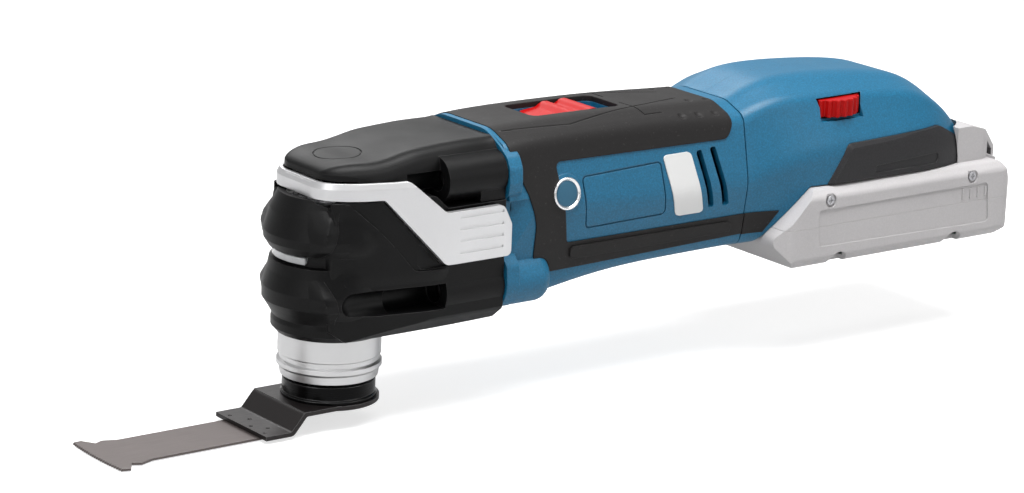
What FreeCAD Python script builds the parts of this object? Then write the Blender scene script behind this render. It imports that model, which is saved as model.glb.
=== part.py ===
import FreeCAD, Part
import math
import os

# Cordless oscillating multi tool, in millimetres.
# Origin: the spindle axis where an accessory seats. +X runs back to the battery, +Z up,
# -Y is the left side of the tool. Half sections are given for y >= 0 and mirrored.

os.makedirs("parts", exist_ok=True)
V = FreeCAD.Vector

# ---------------------------------------------------------------- driving dimensions
# spindle and accessory seat
SPINDLE_R = 8.5
SPINDLE_BORE_R = 6.2
SPINDLE_TOP_R = 7.5
SPINDLE_SPRING_R = 5.0
SPINDLE_TOP_Z = 72.8
FLANGE_R = 16.6
FLANGE_TOP_Z = 7.2
FLANGE_BEVEL = 1.0
STAR_LOBES = 12
STAR_OUT_R = 12.6
STAR_IN_R = 11.0
STAR_TOP_OUT_R = 10.2
STAR_TOP_IN_R = 8.9
STAR_H = 3.2
STAR_CLEAR = 0.15
RUN_FIT = 0.05
PRESS_PLAY = 0.02

# collar and gear case
COLLAR_R = 18.4
COLLAR_BASE_R = 17.4
COLLAR_BEAD_R = 18.7
COLLAR_GROOVE_R = 17.75
COLLAR_BOTTOM_Z = 7.6
COLLAR_BEAD_Z = (10.4, 13.6)
COLLAR_GROOVE_Z = (13.6, 15.2)
HEAD_BASE_Z = 23.6
CASE_R = 16.8
CASE_TOP_Z = 72.4
LOWER_BEARING = (15.0, 7.0)
UPPER_BEARING = (14.0, 6.0)
LOWER_BEARING_Z = 9.6
UPPER_BEARING_Z = 66.0

# motor line
MOTOR_Z = 61.0
TUNNEL_R = 17.4
TUNNEL_BORE_R = 14.6
FLANGE_PLATE_X = (47.0, 53.6)
MOTOR_BEARING = (11.0, 4.0, 7.0)
MOTOR_BEARING_X = 43.0
REAR_BEARING = (9.5, 3.0, 6.0)
SHAFT_R = 4.0
SHAFT_TAIL_R = 3.0
ECC_OFFSET = 0.5
ECC_X = 21.0
ECC_BEARING = (8.0, 3.4, 5.0)
SWING_DEG = 1.4
STATOR_R = 21.0
STATOR_X = (74.0, 104.0)
ROTOR_R = 11.6
ROTOR_GAP = 0.5
SLOTS = 6
FAN_X = (108.0, 118.0)
FAN_R = 20.5
FAN_BLADES = 11
REAR_BEARING_X = 122.0

# outer housings
SEAM_X = 166.0
RING_X = 55.0
WALL = 2.6
LAYER = 1.6
PROUD = 0.4
BOSS_Y = 20.6
BOSS_UP_Z = 78.4
BOSS_LOW_Z = 38.0
BOSS_R = 8.4
LOBE_R = 10.6
BOSS_FRONT_X = 29.6
SCREW_R = 2.0
SCREW_HEAD_R = 3.6

# release lever
PIVOT_X = -11.8
PIVOT_Z = 77.2
PIN_R = 1.25
BAND_X = -15.4
BAND_Z = (74.9, 80.8)
LEVER_T = 2.2
PADDLE_OUT_Y = 32.4
PADDLE_X = (28.0, 54.4)
PADDLE_Z = (50.4, 69.2)
GRIP_GROOVES = 4

# rod and jaws
ROD_R = 2.4
ROD_TRAVEL = 2.2
ROD_TOP_Z = 77.0
ROCKER_X = -5.6
ROCKER_Z = 81.4
ROCKER_HALF_W = 4.2
CAM_R = 5.1
CAM_DEG = -20.0
KNUCKLE_R = 3.4
KNUCKLE_HALF_W = 8.2
EAR_Y = (8.6, 11.4)
POST_Y = (4.6, 7.4)
JAW_PIVOT_Z = 27.0
JAW_W = 5.0
JAW_PIVOT_Y = 2.85
SPRING_Z = (34.6, 57.0)

# blade
CARRIER_T = 1.6
CARRIER_R = 18.0
CARRIER_HALF_W = 16.4
CRANK_X = (-20.6, -26.0)
CRANK_DROP = 6.2
CARRIER_FRONT_X = -36.4
BLADE_T = 0.9
BLADE_HALF_W = 11.6
BLADE_TIP_X = -94.0
BLADE_TIP_HALF_W = 16.8
TOOTH_PITCH = 1.4
TOOTH_DEPTH = 0.9

# battery
FOOT_Z = 58.0
PACK_HALF_W = 37.2
PACK_BOTTOM_Z = 27.5
PACK_SPLIT_Z = 43.0
PACK_WALL = 2.0
PACK_GAP = 0.5
CELL_R = 10.5
CELL_LEN = 69.6
CELL_PITCH = 21.0
CELL_FIRST_X = 195.9
CELL_Z = 41.4
CELLS = 5
NECK_HALF_W = 10.6
HEAD_HALF_W = 14.0
LIP_TOP_Z = 60.8
HEAD_TOP_Z = 64.6
RAIL_CLEAR = 0.4
RAIL_X0 = 212.0
CONTACT_Y = (-9.0, -3.0, 3.0, 9.0)

# dials and switch
WHEEL_X = 210.5
WHEEL_Y = -17.8
WHEEL_R = 13.6
WHEEL_Z = (82.6, 89.2)
SLOT_X = (79.5, 119.5)
SLOT_HALF_W = 9.6
SLIDER_LEN = 28.0
SWITCH_TRAVEL = 5.0


# ---------------------------------------------------------------- small makers
def box(x0, x1, y0, y1, z0, z1):
    return Part.makeBox(x1 - x0, y1 - y0, z1 - z0, V(x0, y0, z0))


def rod_x(r, x0, x1, y, z):
    return Part.makeCylinder(r, x1 - x0, V(x0, y, z), V(1, 0, 0))


def rod_y(r, y0, y1, x, z):
    return Part.makeCylinder(r, y1 - y0, V(x, y0, z), V(0, 1, 0))


def rod_z(r, z0, z1, x=0.0, y=0.0):
    return Part.makeCylinder(r, z1 - z0, V(x, y, z0), V(0, 0, 1))


def tube_z(r_out, r_in, z0, z1, x=0.0, y=0.0):
    return rod_z(r_out, z0, z1, x, y).cut(rod_z(r_in, z0, z1, x, y))


def tube_x(r_out, r_in, x0, x1, y, z):
    return rod_x(r_out, x0, x1, y, z).cut(rod_x(r_in, x0, x1, y, z))


def fuse(shapes):
    whole = shapes[0]
    if len(shapes) > 1:
        whole = shapes[0].multiFuse(shapes[1:])
    return whole.removeSplitter()


def cut(shape, tools):
    for tool in tools:
        shape = shape.cut(tool)
    return shape


def closed_wire(points, radii, place):
    """A closed outline in a plane, each corner rounded by its own radius (0 keeps it sharp)."""
    count = len(points)
    if not isinstance(radii, (list, tuple)):
        radii = [radii] * count
    stops = []
    for i in range(count):
        px, py = points[i]
        ax, ay = points[i - 1]
        bx, by = points[(i + 1) % count]
        la = math.hypot(ax - px, ay - py)
        lb = math.hypot(bx - px, by - py)
        ua = ((ax - px) / la, (ay - py) / la)
        ub = ((bx - px) / lb, (by - py) / lb)
        turn = math.acos(max(-1.0, min(1.0, ua[0] * ub[0] + ua[1] * ub[1])))
        if radii[i] <= 0 or math.pi - turn < 1e-3:
            stops.append([(px, py)])
            continue
        back = radii[i] / math.tan(turn / 2)
        mx, my = ua[0] + ub[0], ua[1] + ub[1]
        lm = math.hypot(mx, my)
        to_mid = radii[i] / math.sin(turn / 2) - radii[i]
        stops.append([
            (px + ua[0] * back, py + ua[1] * back),
            (px + mx / lm * to_mid, py + my / lm * to_mid),
            (px + ub[0] * back, py + ub[1] * back),
        ])
    edges = []
    for i in range(count):
        stop = stops[i]
        if len(stop) == 3:
            edges.append(Part.Arc(place(*stop[0]), place(*stop[1]), place(*stop[2])).toShape())
        start = place(*stop[-1])
        end = place(*stops[(i + 1) % count][0])
        if start.distanceToPoint(end) > 1e-6:
            edges.append(Part.makeLine(start, end))
    return Part.Wire(edges)


def plate_y(points, radii, y0, y1):
    """A plate whose outline is given in x and z."""
    face = Part.Face(closed_wire(points, radii, lambda x, z: V(x, y0, z)))
    return face.extrude(V(0, y1 - y0, 0))


def plate_z(points, radii, z0, z1):
    """A plate whose outline is given in x and y."""
    face = Part.Face(closed_wire(points, radii, lambda x, y: V(x, y, z0)))
    return face.extrude(V(0, 0, z1 - z0))


def plate_x(points, radii, x0, x1):
    """A plate whose outline is given in y and z."""
    face = Part.Face(closed_wire(points, radii, lambda y, z: V(x0, y, z)))
    return face.extrude(V(x1 - x0, 0, 0))


def revolve_z(profile):
    """A turned body from a closed list of (radius, z)."""
    wire = Part.makePolygon([V(r, 0, z) for r, z in profile + profile[:1]])
    return Part.Face(wire).revolve(V(0, 0, 0), V(0, 0, 1), 360)


def revolve_x(profile, z):
    """A turned body about the motor line from a closed list of (x, radius)."""
    wire = Part.makePolygon([V(x, 0, z + r) for x, r in profile + profile[:1]])
    return Part.Face(wire).revolve(V(0, 0, z), V(1, 0, 0), 360)


def inset(points, depth):
    """Moves each edge of a half section inwards; the first and last stay on the centre line."""
    closed = [(0.0, points[0][1])] + list(points) + [(0.0, points[-1][1])]
    lines = []
    for (ay, az), (by, bz) in zip(closed[:-1], closed[1:]):
        length = math.hypot(by - ay, bz - az)
        ny, nz = (bz - az) / length, -(by - ay) / length
        lines.append((ay + ny * depth, az + nz * depth, (by - ay) / length, (bz - az) / length))
    moved = []
    for (ay, az, ady, adz), (by, bz, bdy, bdz) in zip(lines[:-1], lines[1:]):
        cross = ady * bdz - adz * bdy
        t = ((by - ay) * bdz - (bz - az) * bdy) / cross
        moved.append((ay + ady * t, az + adz * t))
    return moved


def shrunk(points, depth):
    """Moves every edge of a closed outline inwards."""
    area = sum(ax * by - bx * ay for (ax, ay), (bx, by) in zip(points, points[1:] + points[:1]))
    turn = math.copysign(1.0, area)
    moved = []
    count = len(points)
    for i in range(count):
        (ax, ay), (bx, by), (cx, cy) = points[i - 1], points[i], points[(i + 1) % count]
        la, lb = math.hypot(bx - ax, by - ay), math.hypot(cx - bx, cy - by)
        ux, uy, vx, vy = (bx - ax) / la, (by - ay) / la, (cx - bx) / lb, (cy - by) / lb
        spread = depth / (1.0 + ux * vx + uy * vy) * turn
        moved.append((bx - (uy + vy) * spread, by + (ux + vx) * spread))
    return moved


def section(x, half, radii, depth=0.0):
    """One closed housing section across the tool at x, from its right half."""
    if depth:
        half = inset(half, depth)
        radii = [max(0.6, r - depth) for r in radii]
    points = list(half) + [(-y, z) for y, z in reversed(half)]
    return closed_wire(points, list(radii) + list(reversed(radii)), lambda y, z: V(x, y, z))


def housing_loft(stations, radii, depth=0.0, x0=None, x1=None):
    """A body through the stations; x0 and x1 move its two ends along the tool."""
    wires = []
    last = len(stations) - 1
    for i, (x, half) in enumerate(stations):
        if i == 0 and x0 is not None:
            x = x0
        if i == last and x1 is not None:
            x = x1
        wires.append(section(x, half, radii[i] if isinstance(radii[0], list) else radii, depth))
    return Part.makeLoft(wires, True, False)


def save(name, *shapes):
    solids = []
    for shape in shapes:
        solids += shape.Solids
    whole = solids[0] if len(solids) == 1 else Part.makeCompound(solids)
    whole.exportStep("parts/%s.step" % name)


# ---------------------------------------------------------------- housing sections
# top flat edge, shoulder, widest side, base corner
FRONT_STATIONS = [
    (57.0, [(14.0, 92.0), (25.0, 87.4), (29.0, 66.0), (23.0, 29.6)]),
    (76.0, [(14.0, 92.6), (24.6, 89.0), (29.0, 64.0), (23.6, 31.0)]),
    (96.0, [(14.0, 92.6), (24.4, 89.2), (28.9, 63.0), (24.4, 34.2)]),
    (120.0, [(14.0, 92.2), (24.2, 88.8), (28.8, 62.0), (24.8, 36.2)]),
    (146.0, [(13.4, 91.2), (24.0, 87.4), (28.7, 62.0), (25.0, 36.8)]),
    (SEAM_X, [(13.0, 90.6), (23.8, 86.4), (28.7, 62.0), (25.0, 36.8)]),
]
REAR_STATIONS = [
    (SEAM_X, [(13.0, 90.6), (23.8, 86.4), (28.7, 62.0), (25.0, 36.8)]),
    (172.0, [(13.2, 92.6), (24.4, 88.4), (29.4, 64.0), (25.4, 36.8)]),
    (180.0, [(13.6, 95.4), (25.2, 90.4), (31.0, 67.0), (27.4, 37.2)]),
    (190.0, [(14.0, 96.9), (26.0, 91.0), (32.4, 69.6), (30.4, 39.0)]),
    (204.0, [(14.2, 97.0), (26.2, 90.6), (33.4, 71.6), (33.2, 44.0)]),
    (222.0, [(14.2, 96.0), (26.2, 89.4), (33.6, 72.0), (33.4, 46.0)]),
    (240.0, [(14.0, 94.0), (26.0, 88.0), (33.4, 71.6), (33.2, 46.0)]),
    (254.0, [(13.8, 90.4), (25.8, 85.2), (32.8, 69.6), (32.6, 46.0)]),
    (266.0, [(13.4, 83.0), (24.8, 79.0), (30.8, 65.6), (30.6, 46.0)]),
    (276.0, [(12.4, 74.6), (21.6, 71.4), (26.6, 60.4), (26.4, 46.0)]),
    (284.0, [(10.4, 66.0), (16.0, 63.6), (20.0, 56.0), (19.8, 46.0)]),
]
SECTION_RADII = [14.0, 6.0, 20.0, 5.0]
PACK_SLOPE = [(172.4, 36.0), (194.0, FOOT_Z)]


def below_foot(lift=0.0):
    """Everything under the battery foot and the sloping belly, raised by lift."""
    (ax, az), (bx, bz) = PACK_SLOPE
    slide = lift * math.tan(math.radians(22.5))
    points = [
        (ax - lift - 14.0, az - 14.0 + lift * 0.41),
        (ax - lift * 0.707 - 8.0, az - 8.0 + lift * 0.707),
        (bx - slide, bz + lift),
        (320.0, bz + lift),
        (320.0, 5.0),
        (150.0, 5.0),
    ]
    return plate_y(points, 0, -60.0, 60.0)


# ---------------------------------------------------------------- spindle group
def star_wire(r_out, r_in, z):
    points = []
    for i in range(2 * STAR_LOBES):
        r = r_out if i % 2 == 0 else r_in
        a = math.pi * i / STAR_LOBES
        points.append(V(r * math.cos(a), r * math.sin(a), z))
    return Part.makePolygon(points + points[:1])


def star_cone(grow, z0, z1):
    """The twelve-lobed cone that centres the accessory; grow widens it all round."""
    low = star_wire(STAR_OUT_R + grow, STAR_IN_R + grow, z0)
    high = star_wire(STAR_TOP_OUT_R + grow, STAR_TOP_IN_R + grow, z1)
    return Part.makeLoft([low, high], True, True)


def make_spindle():
    seat_z = UPPER_BEARING_Z - RUN_FIT
    body = revolve_z([
        (SPINDLE_BORE_R, STAR_H + 0.8), (SPINDLE_R, STAR_H + 0.8),
        (SPINDLE_R, FLANGE_TOP_Z), (9.6, FLANGE_TOP_Z), (9.6, LOWER_BEARING_Z - 0.1),
        (SPINDLE_R, LOWER_BEARING_Z - 0.1), (SPINDLE_R, 54.0), (8.0, 54.0), (8.0, seat_z),
        (SPINDLE_TOP_R, seat_z), (SPINDLE_TOP_R, SPINDLE_TOP_Z - 0.6), (SPINDLE_TOP_R - 0.6, SPINDLE_TOP_Z),
        (SPINDLE_SPRING_R, SPINDLE_TOP_Z), (SPINDLE_SPRING_R, SPRING_Z[0]), (ROD_R + 0.3, SPRING_Z[0]),
        (ROD_R + 0.3, SPRING_Z[0] - 2.4), (SPINDLE_BORE_R, SPRING_Z[0] - 2.4),
    ])
    save("spindle", body)


def make_tool_flange():
    ring = revolve_z([
        (SPINDLE_R, STAR_H + 0.8), (SPINDLE_R, FLANGE_TOP_Z),
        (FLANGE_R - FLANGE_BEVEL, FLANGE_TOP_Z), (FLANGE_R, FLANGE_TOP_Z - FLANGE_BEVEL),
        (FLANGE_R, 1.6), (FLANGE_R + 0.5, 1.0), (FLANGE_R + 0.5, 0.0), (9.0, 0.0), (9.0, STAR_H + 0.8),
    ])
    save("tool_flange", ring.cut(star_cone(STAR_CLEAR, -0.01, STAR_H + 0.3)))


def make_drive_fork():
    """A clamp hub on the spindle with two arms that straddle the eccentric bearing."""
    hub_z = (MOTOR_Z - 6.0, MOTOR_Z + 2.6)
    arm_in = ECC_BEARING[0] + 1.5
    arm_out = arm_in + 2.6
    hub = rod_z(11.2, hub_z[0], hub_z[1])
    arms = []
    for side in (-1, 1):
        y0, y1 = sorted((side * arm_in, side * arm_out))
        points = [(8.0, hub_z[0]), (ECC_X + 4.6, MOTOR_Z - 4.4), (ECC_X + 4.6, MOTOR_Z + 4.4), (8.0, hub_z[1])]
        arms.append(plate_y(points, [0, 1.5, 1.5, 0], y0, y1))
        arms.append(box(4.0, 10.0, y0, y1, hub_z[0], hub_z[1]))
    web = box(8.0, 11.5, -arm_in, arm_in, hub_z[0], hub_z[1])
    fork = fuse([hub, web] + arms)
    save("drive_fork", cut(fork, [rod_z(8.0, hub_z[0] - 1, hub_z[1] + 1)]))


def make_clamp_rod():
    """The pull rod: a yoke below for the jaws, a button on top that the rocker presses."""
    yoke_top = SPRING_Z[0] - 3.0
    half = JAW_W / 2 + RUN_FIT + 0.1
    stem = rod_z(ROD_R, JAW_PIVOT_Z + 4.0, ROD_TOP_Z - 1.6)
    button = rod_z(ROD_R + 1.6, ROD_TOP_Z - 1.6, ROD_TOP_Z)
    yoke = box(-half - 1.5, half + 1.5, -4.1, 4.1, JAW_PIVOT_Z - 2.2, yoke_top)
    yoke = yoke.common(rod_z(SPINDLE_BORE_R - 0.3, 0.0, 60.0))
    slot = box(-half, half, -6.0, 6.0, 0.0, JAW_PIVOT_Z + 2.4)
    pins = [rod_x(1.0, -half - 0.2, half + 0.2, side * JAW_PIVOT_Y, JAW_PIVOT_Z) for side in (-1, 1)]
    save("clamp_rod", fuse([cut(fuse([stem, yoke, button]), [slot])] + pins))


def make_spring_collar():
    """The nut on the rod that the spring lifts."""
    save("spring_collar", tube_z(SPINDLE_SPRING_R - 0.2, ROD_R, SPRING_Z[1], SPRING_Z[1] + 3.0))


def make_jaws():
    """Two hooks that reach down through the spindle and hold the accessory from below."""
    top = JAW_PIVOT_Z + 2.0
    under = STAR_H - CARRIER_T - 0.1
    for side, name in ((-1, "clamp_jaw_left"), (1, "clamp_jaw_right")):
        points = [
            (1.6, top), (4.1, top), (4.1, under), (6.6, under), (6.6, under - 1.0), (5.6, under - 1.4),
            (2.9, under - 1.4), (2.9, 3.4), (1.6, 16.0),
        ]
        jaw = plate_x([(side * y, z) for y, z in points], 0, -JAW_W / 2, JAW_W / 2)
        save(name, jaw.cut(rod_x(1.0 + RUN_FIT, -6, 6, side * JAW_PIVOT_Y, JAW_PIVOT_Z)))


def make_clamp_spring():
    """Compression spring between the spindle's inner shoulder and the collar on the rod."""
    wire_r = 0.7
    mean_r = SPINDLE_SPRING_R - wire_r - 0.25
    low, high = SPRING_Z[0] + wire_r + 0.05, SPRING_Z[1] - wire_r - 0.05
    turns = 6.0
    path = Part.makeHelix((high - low) / turns, high - low, mean_r)
    path.translate(V(0, 0, low))
    profile = Part.Wire(Part.makeCircle(wire_r, V(mean_r, 0, low), V(0, 1, 0)))
    save("clamp_spring", Part.Wire(path).makePipeShell([profile], True, True))


# ---------------------------------------------------------------- gear case and bearings
def make_gear_case():
    collar = revolve_z([
        (0.0, COLLAR_BOTTOM_Z), (COLLAR_BASE_R, COLLAR_BOTTOM_Z), (COLLAR_BASE_R + 0.5, COLLAR_BEAD_Z[0]),
        (COLLAR_BEAD_R, COLLAR_BEAD_Z[0] + 0.9), (COLLAR_BEAD_R, COLLAR_BEAD_Z[1] - 0.7),
        (COLLAR_GROOVE_R, COLLAR_BEAD_Z[1]), (COLLAR_GROOVE_R, COLLAR_GROOVE_Z[1]),
        (COLLAR_R, COLLAR_GROOVE_Z[1] + 0.5), (COLLAR_R, 30.0), (0.0, 30.0),
    ])
    barrel = rod_z(CASE_R, 28.0, CASE_TOP_Z)
    tunnel = rod_x(TUNNEL_R, 0.0, FLANGE_PLATE_X[1], 0.0, MOTOR_Z)
    corners = [(BOSS_Y + 5.0, BOSS_UP_Z + 5.0), (BOSS_Y + 5.0, BOSS_LOW_Z - 5.0)]
    outline = corners + [(-y, z) for y, z in reversed(corners)]
    plate = plate_x(outline, 5.0, FLANGE_PLATE_X[0], FLANGE_PLATE_X[1])
    ribs = [box(10.0, FLANGE_PLATE_X[0], -2.0, 2.0, 34.0, MOTOR_Z - 12.0)]
    web = plate_y([(8, 40.0), (8, MOTOR_Z), (48, MOTOR_Z), (48, 36.0)], 0, -6.0, 6.0)
    whole = fuse([collar, barrel, tunnel, plate, web] + ribs)
    low_r, low_w = LOWER_BEARING
    up_r, up_w = UPPER_BEARING
    tools = [
        rod_z(low_r, LOWER_BEARING_Z, LOWER_BEARING_Z + low_w),
        rod_z(low_r - 2.0, LOWER_BEARING_Z + low_w - 0.1, 20.0),
        rod_z(11.0, COLLAR_BOTTOM_Z - 1, LOWER_BEARING_Z + 0.1),
        rod_z(12.6, 19.9, UPPER_BEARING_Z - 1.0),
        rod_z(up_r - 2.0, UPPER_BEARING_Z - 1.1, UPPER_BEARING_Z + 0.1),
        rod_z(up_r + PRESS_PLAY, UPPER_BEARING_Z, CASE_TOP_Z + 1.0),
        rod_z(CASE_R, CASE_TOP_Z, CASE_TOP_Z + 10.0),
        rod_x(TUNNEL_BORE_R, 0.0, MOTOR_BEARING_X, 0.0, MOTOR_Z),
        rod_x(MOTOR_BEARING[0], MOTOR_BEARING_X - 0.1, MOTOR_BEARING_X + MOTOR_BEARING[2], 0.0, MOTOR_Z),
        rod_x(8.0, MOTOR_BEARING_X, FLANGE_PLATE_X[1] + 1, 0.0, MOTOR_Z),
    ]
    for y in (-BOSS_Y, BOSS_Y):
        for z in (BOSS_UP_Z, BOSS_LOW_Z):
            tools.append(rod_x(SCREW_R + 0.3, FLANGE_PLATE_X[0] - 1, FLANGE_PLATE_X[1] + 1, y, z))
    for side in (-1, 1):
        tools.append(rod_z(1.1, CASE_TOP_Z - 5.0, CASE_TOP_Z + 1, 0.0, side * BRACKET_SCREW_Y))
    save("gear_case", cut(whole, tools))


BRACKET_T = 1.6
BRACKET_SCREW_Y = 15.4


def make_lever_bracket():
    """The cover over the upper bearing, with ears for the lever's pin and posts for the rocker."""
    top = CASE_TOP_Z + BRACKET_T
    plate = tube_z(CASE_R, 8.0, CASE_TOP_Z, top)
    parts = [plate.cut(box(-20.0, -7.4, -20.0, 20.0, 60.0, 90.0))]
    for side in (-1, 1):
        y0, y1 = sorted((side * EAR_Y[0], side * EAR_Y[1]))
        parts.append(plate_y([
            (PIVOT_X - 2.1, PIVOT_Z + 2.1), (PIVOT_X + 2.4, PIVOT_Z + 2.1), (-3.0, top), (-3.0, CASE_TOP_Z + 0.6),
            (-7.2, CASE_TOP_Z + 0.6), (PIVOT_X + 2.1, PIVOT_Z - 2.1), (PIVOT_X - 2.1, PIVOT_Z - 2.1),
        ], [2.0, 1.0, 0, 0, 0, 0, 2.0], y0, y1))
        y0, y1 = sorted((side * POST_Y[0], side * POST_Y[1]))
        parts.append(plate_y([
            (ROCKER_X - 2.1, CASE_TOP_Z + 0.8), (ROCKER_X - 2.1, ROCKER_Z + 2.1),
            (ROCKER_X + 2.1, ROCKER_Z + 2.1), (ROCKER_X + 2.1, CASE_TOP_Z + 0.8),
        ], [0, 2.0, 2.0, 0], y0, y1))
    plug = rod_x(TUNNEL_BORE_R - 0.1, 13.4, 16.0, 0.0, MOTOR_Z).common(box(13, 17, -20, 20, CASE_TOP_Z, 90))
    tools = [
        rod_y(PIN_R - RUN_FIT, -12, 12, PIVOT_X, PIVOT_Z),
        rod_y(PIN_R - RUN_FIT, -12, 12, ROCKER_X, ROCKER_Z),
    ]
    for side in (-1, 1):
        tools.append(rod_z(1.3, CASE_TOP_Z - 1, top + 1, 0.0, side * BRACKET_SCREW_Y))
    save("lever_bracket", cut(fuse(parts + [plug.common(rod_z(CASE_R, 60, 90))]), tools))
    screws = []
    for side in (-1, 1):
        y = side * BRACKET_SCREW_Y
        head = rod_z(1.5, top, top + 1.2, 0.0, y)
        slot = box(-3, 3, y - 0.3, y + 0.3, top + 0.6, top + 2)
        screws.append(fuse([head, rod_z(1.1, CASE_TOP_Z - 4.6, top, 0.0, y)]).cut(slot))
    save("bracket_screws", *screws)


def make_bearings():
    low_r, low_w = LOWER_BEARING
    up_r, up_w = UPPER_BEARING
    out, bore, width = MOTOR_BEARING
    save("spindle_lower_bearing", bearing_z(low_r, SPINDLE_R + RUN_FIT, LOWER_BEARING_Z, low_w))
    save("spindle_upper_bearing", bearing_z(up_r, SPINDLE_TOP_R + RUN_FIT, UPPER_BEARING_Z, up_w))
    save("motor_front_bearing", bearing_x(out, bore + RUN_FIT, MOTOR_BEARING_X, width))
    out, bore, width = REAR_BEARING
    save("motor_rear_bearing", bearing_x(out, bore + RUN_FIT, REAR_BEARING_X, width))


def bearing_profile(r_out, r_in, width):
    """Both races with the sunk shields between them."""
    third = (r_out - r_in) * 0.28
    dip = 0.5
    return [
        (r_in, 0.0), (r_in + third, 0.0), (r_in + third, dip), (r_out - third, dip), (r_out - third, 0.0),
        (r_out, 0.0), (r_out, width), (r_out - third, width), (r_out - third, width - dip),
        (r_in + third, width - dip), (r_in + third, width), (r_in, width),
    ]


def bearing_z(r_out, r_in, z, width):
    return revolve_z([(r, z + h) for r, h in bearing_profile(r_out, r_in, width)])


def bearing_x(r_out, r_in, x, width):
    return revolve_x([(x + h, r) for r, h in bearing_profile(r_out, r_in, width)], MOTOR_Z)


make_spindle()
make_tool_flange()
make_drive_fork()
make_clamp_rod()
make_spring_collar()
make_jaws()
make_clamp_spring()
make_gear_case()
make_lever_bracket()
make_bearings()


# ---------------------------------------------------------------- head covers
HEAD_BODY_TOP_Z = 74.4
HEAD_REAR_X = RING_X - 0.4
HEAD_SIDE_Y = 28.2
NOSE_PROFILE = [
    (0.0, HEAD_BASE_Z), (19.2, HEAD_BASE_Z), (21.0, HEAD_BASE_Z + 2.0), (21.0, 28.2), (20.6, 29.8),
    (22.6, 33.2), (24.3, 35.8), (24.3, 40.6), (22.6, 46.4), (21.8, 50.2), (19.6, 50.6), (19.6, 54.4),
    (22.2, 54.6), (24.0, 57.4), (24.2, 60.4), (22.0, 68.0), (19.0, HEAD_BODY_TOP_Z), (0.0, HEAD_BODY_TOP_Z),
]
HEAD_PLAN = [(-12.6, 18.8), (3.6, 24.4), (24.0, HEAD_SIDE_Y), (HEAD_REAR_X, HEAD_SIDE_Y)]


def screw_places():
    return [(y, z) for y in (-BOSS_Y, BOSS_Y) for z in (BOSS_UP_Z, BOSS_LOW_Z)]


def mirrored_plan(points):
    return points + [(x, -y) for x, y in reversed(points)]


def case_room():
    """The space that the gear case fills inside the head covers."""
    gap = 0.2
    return [
        rod_z(CASE_R + gap, 29.0, 90.0),
        rod_z(COLLAR_R + gap, HEAD_BASE_Z - 2.0, 30.0 + gap),
        rod_x(TUNNEL_R + gap, 0.0, 60.0, 0.0, MOTOR_Z),
        box(8.0, 60.0, -6.0 - gap, 6.0 + gap, 33.0, MOTOR_Z),
        box(FLANGE_PLATE_X[0] - gap, 60.0, -BOSS_Y - 5.0 - gap, BOSS_Y + 5.0 + gap,
            BOSS_LOW_Z - 5.0 - gap, BOSS_UP_Z + 5.0 + gap),
    ]


def screw_room():
    """Clearance holes for the four long screws, wide in front of each head."""
    tools = []
    for y, z in screw_places():
        tools.append(rod_x(SCREW_R + 0.3, 30.0, 60.0, y, z))
        tools.append(rod_x(SCREW_HEAD_R + 0.6, BOSS_FRONT_X - 14.0, BOSS_FRONT_X + 8.0, y, z))
    return tools


def make_head_body():
    """The lower head cover: a stepped round nose, flat flanks and the two lower screw bosses."""
    nose = revolve_z(NOSE_PROFILE)
    flank = plate_z(mirrored_plan(HEAD_PLAN), [1.5, 30.0, 40.0, 0, 0, 40.0, 30.0, 1.5], HEAD_BASE_Z, 77.0)
    side = plate_y([
        (-13.2, 28.6), (-7.0, HEAD_BASE_Z + 0.4), (30.0, HEAD_BASE_Z + 0.6), (HEAD_REAR_X, 25.4),
        (HEAD_REAR_X, BOSS_UP_Z - BOSS_R - 0.3), (BOSS_FRONT_X, BOSS_UP_Z - BOSS_R - 0.3),
        (BOSS_FRONT_X - 4.6, HEAD_BODY_TOP_Z), (-14.0, HEAD_BODY_TOP_Z), (-10.4, 62.0), (-15.0, 57.0),
        (-12.6, 45.0), (-14.6, 38.0),
    ], [2.0, 4.0, 0, 0, 0, 1.0, 2.0, 0, 6.0, 2.0, 8.0, 2.0], -40.0, 40.0)
    rounding = plate_x([
        (-20.0, HEAD_BASE_Z), (-HEAD_SIDE_Y - 0.6, HEAD_BASE_Z + 7.0), (-HEAD_SIDE_Y - 0.6, 80.0),
        (HEAD_SIDE_Y + 0.6, 80.0), (HEAD_SIDE_Y + 0.6, HEAD_BASE_Z + 7.0), (20.0, HEAD_BASE_Z),
    ], [8.0, 5.0, 0, 0, 5.0, 8.0], -30.0, 60.0)
    flank = flank.common(side).common(rounding)
    bosses = [rod_x(BOSS_R, BOSS_FRONT_X, HEAD_REAR_X, y, BOSS_LOW_Z) for y in (-BOSS_Y, BOSS_Y)]
    whole = fuse([nose, flank] + bosses)
    panel = [
        (-6.2, HEAD_BODY_TOP_Z + 2.0), (-1.0, HEAD_BODY_TOP_Z + 2.0), (26.8, 50.2), (30.0, 48.8), (19.4, 48.8),
    ]
    tools = case_room() + screw_room()
    for side_y in (-1, 1):
        y0, y1 = sorted((side_y * (HEAD_SIDE_Y - 1.2), side_y * 40.0))
        tools.append(plate_y(panel, [0, 0, 1.0, 0, 1.0], y0, y1).common(below_plan(1.2)))
        tools += screw_way(side_y)
    tools.append(rod_y(4.8, -17.6, 17.6, PIVOT_X, PIVOT_Z))
    tools.append(lever_room())
    tools.append(light_room())
    save("head_body", cut(whole, tools))


WAY_R = 4.6
WAY_X = (-6.0, 8.5)
WAY_FRONT_Y = 24.1


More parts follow.
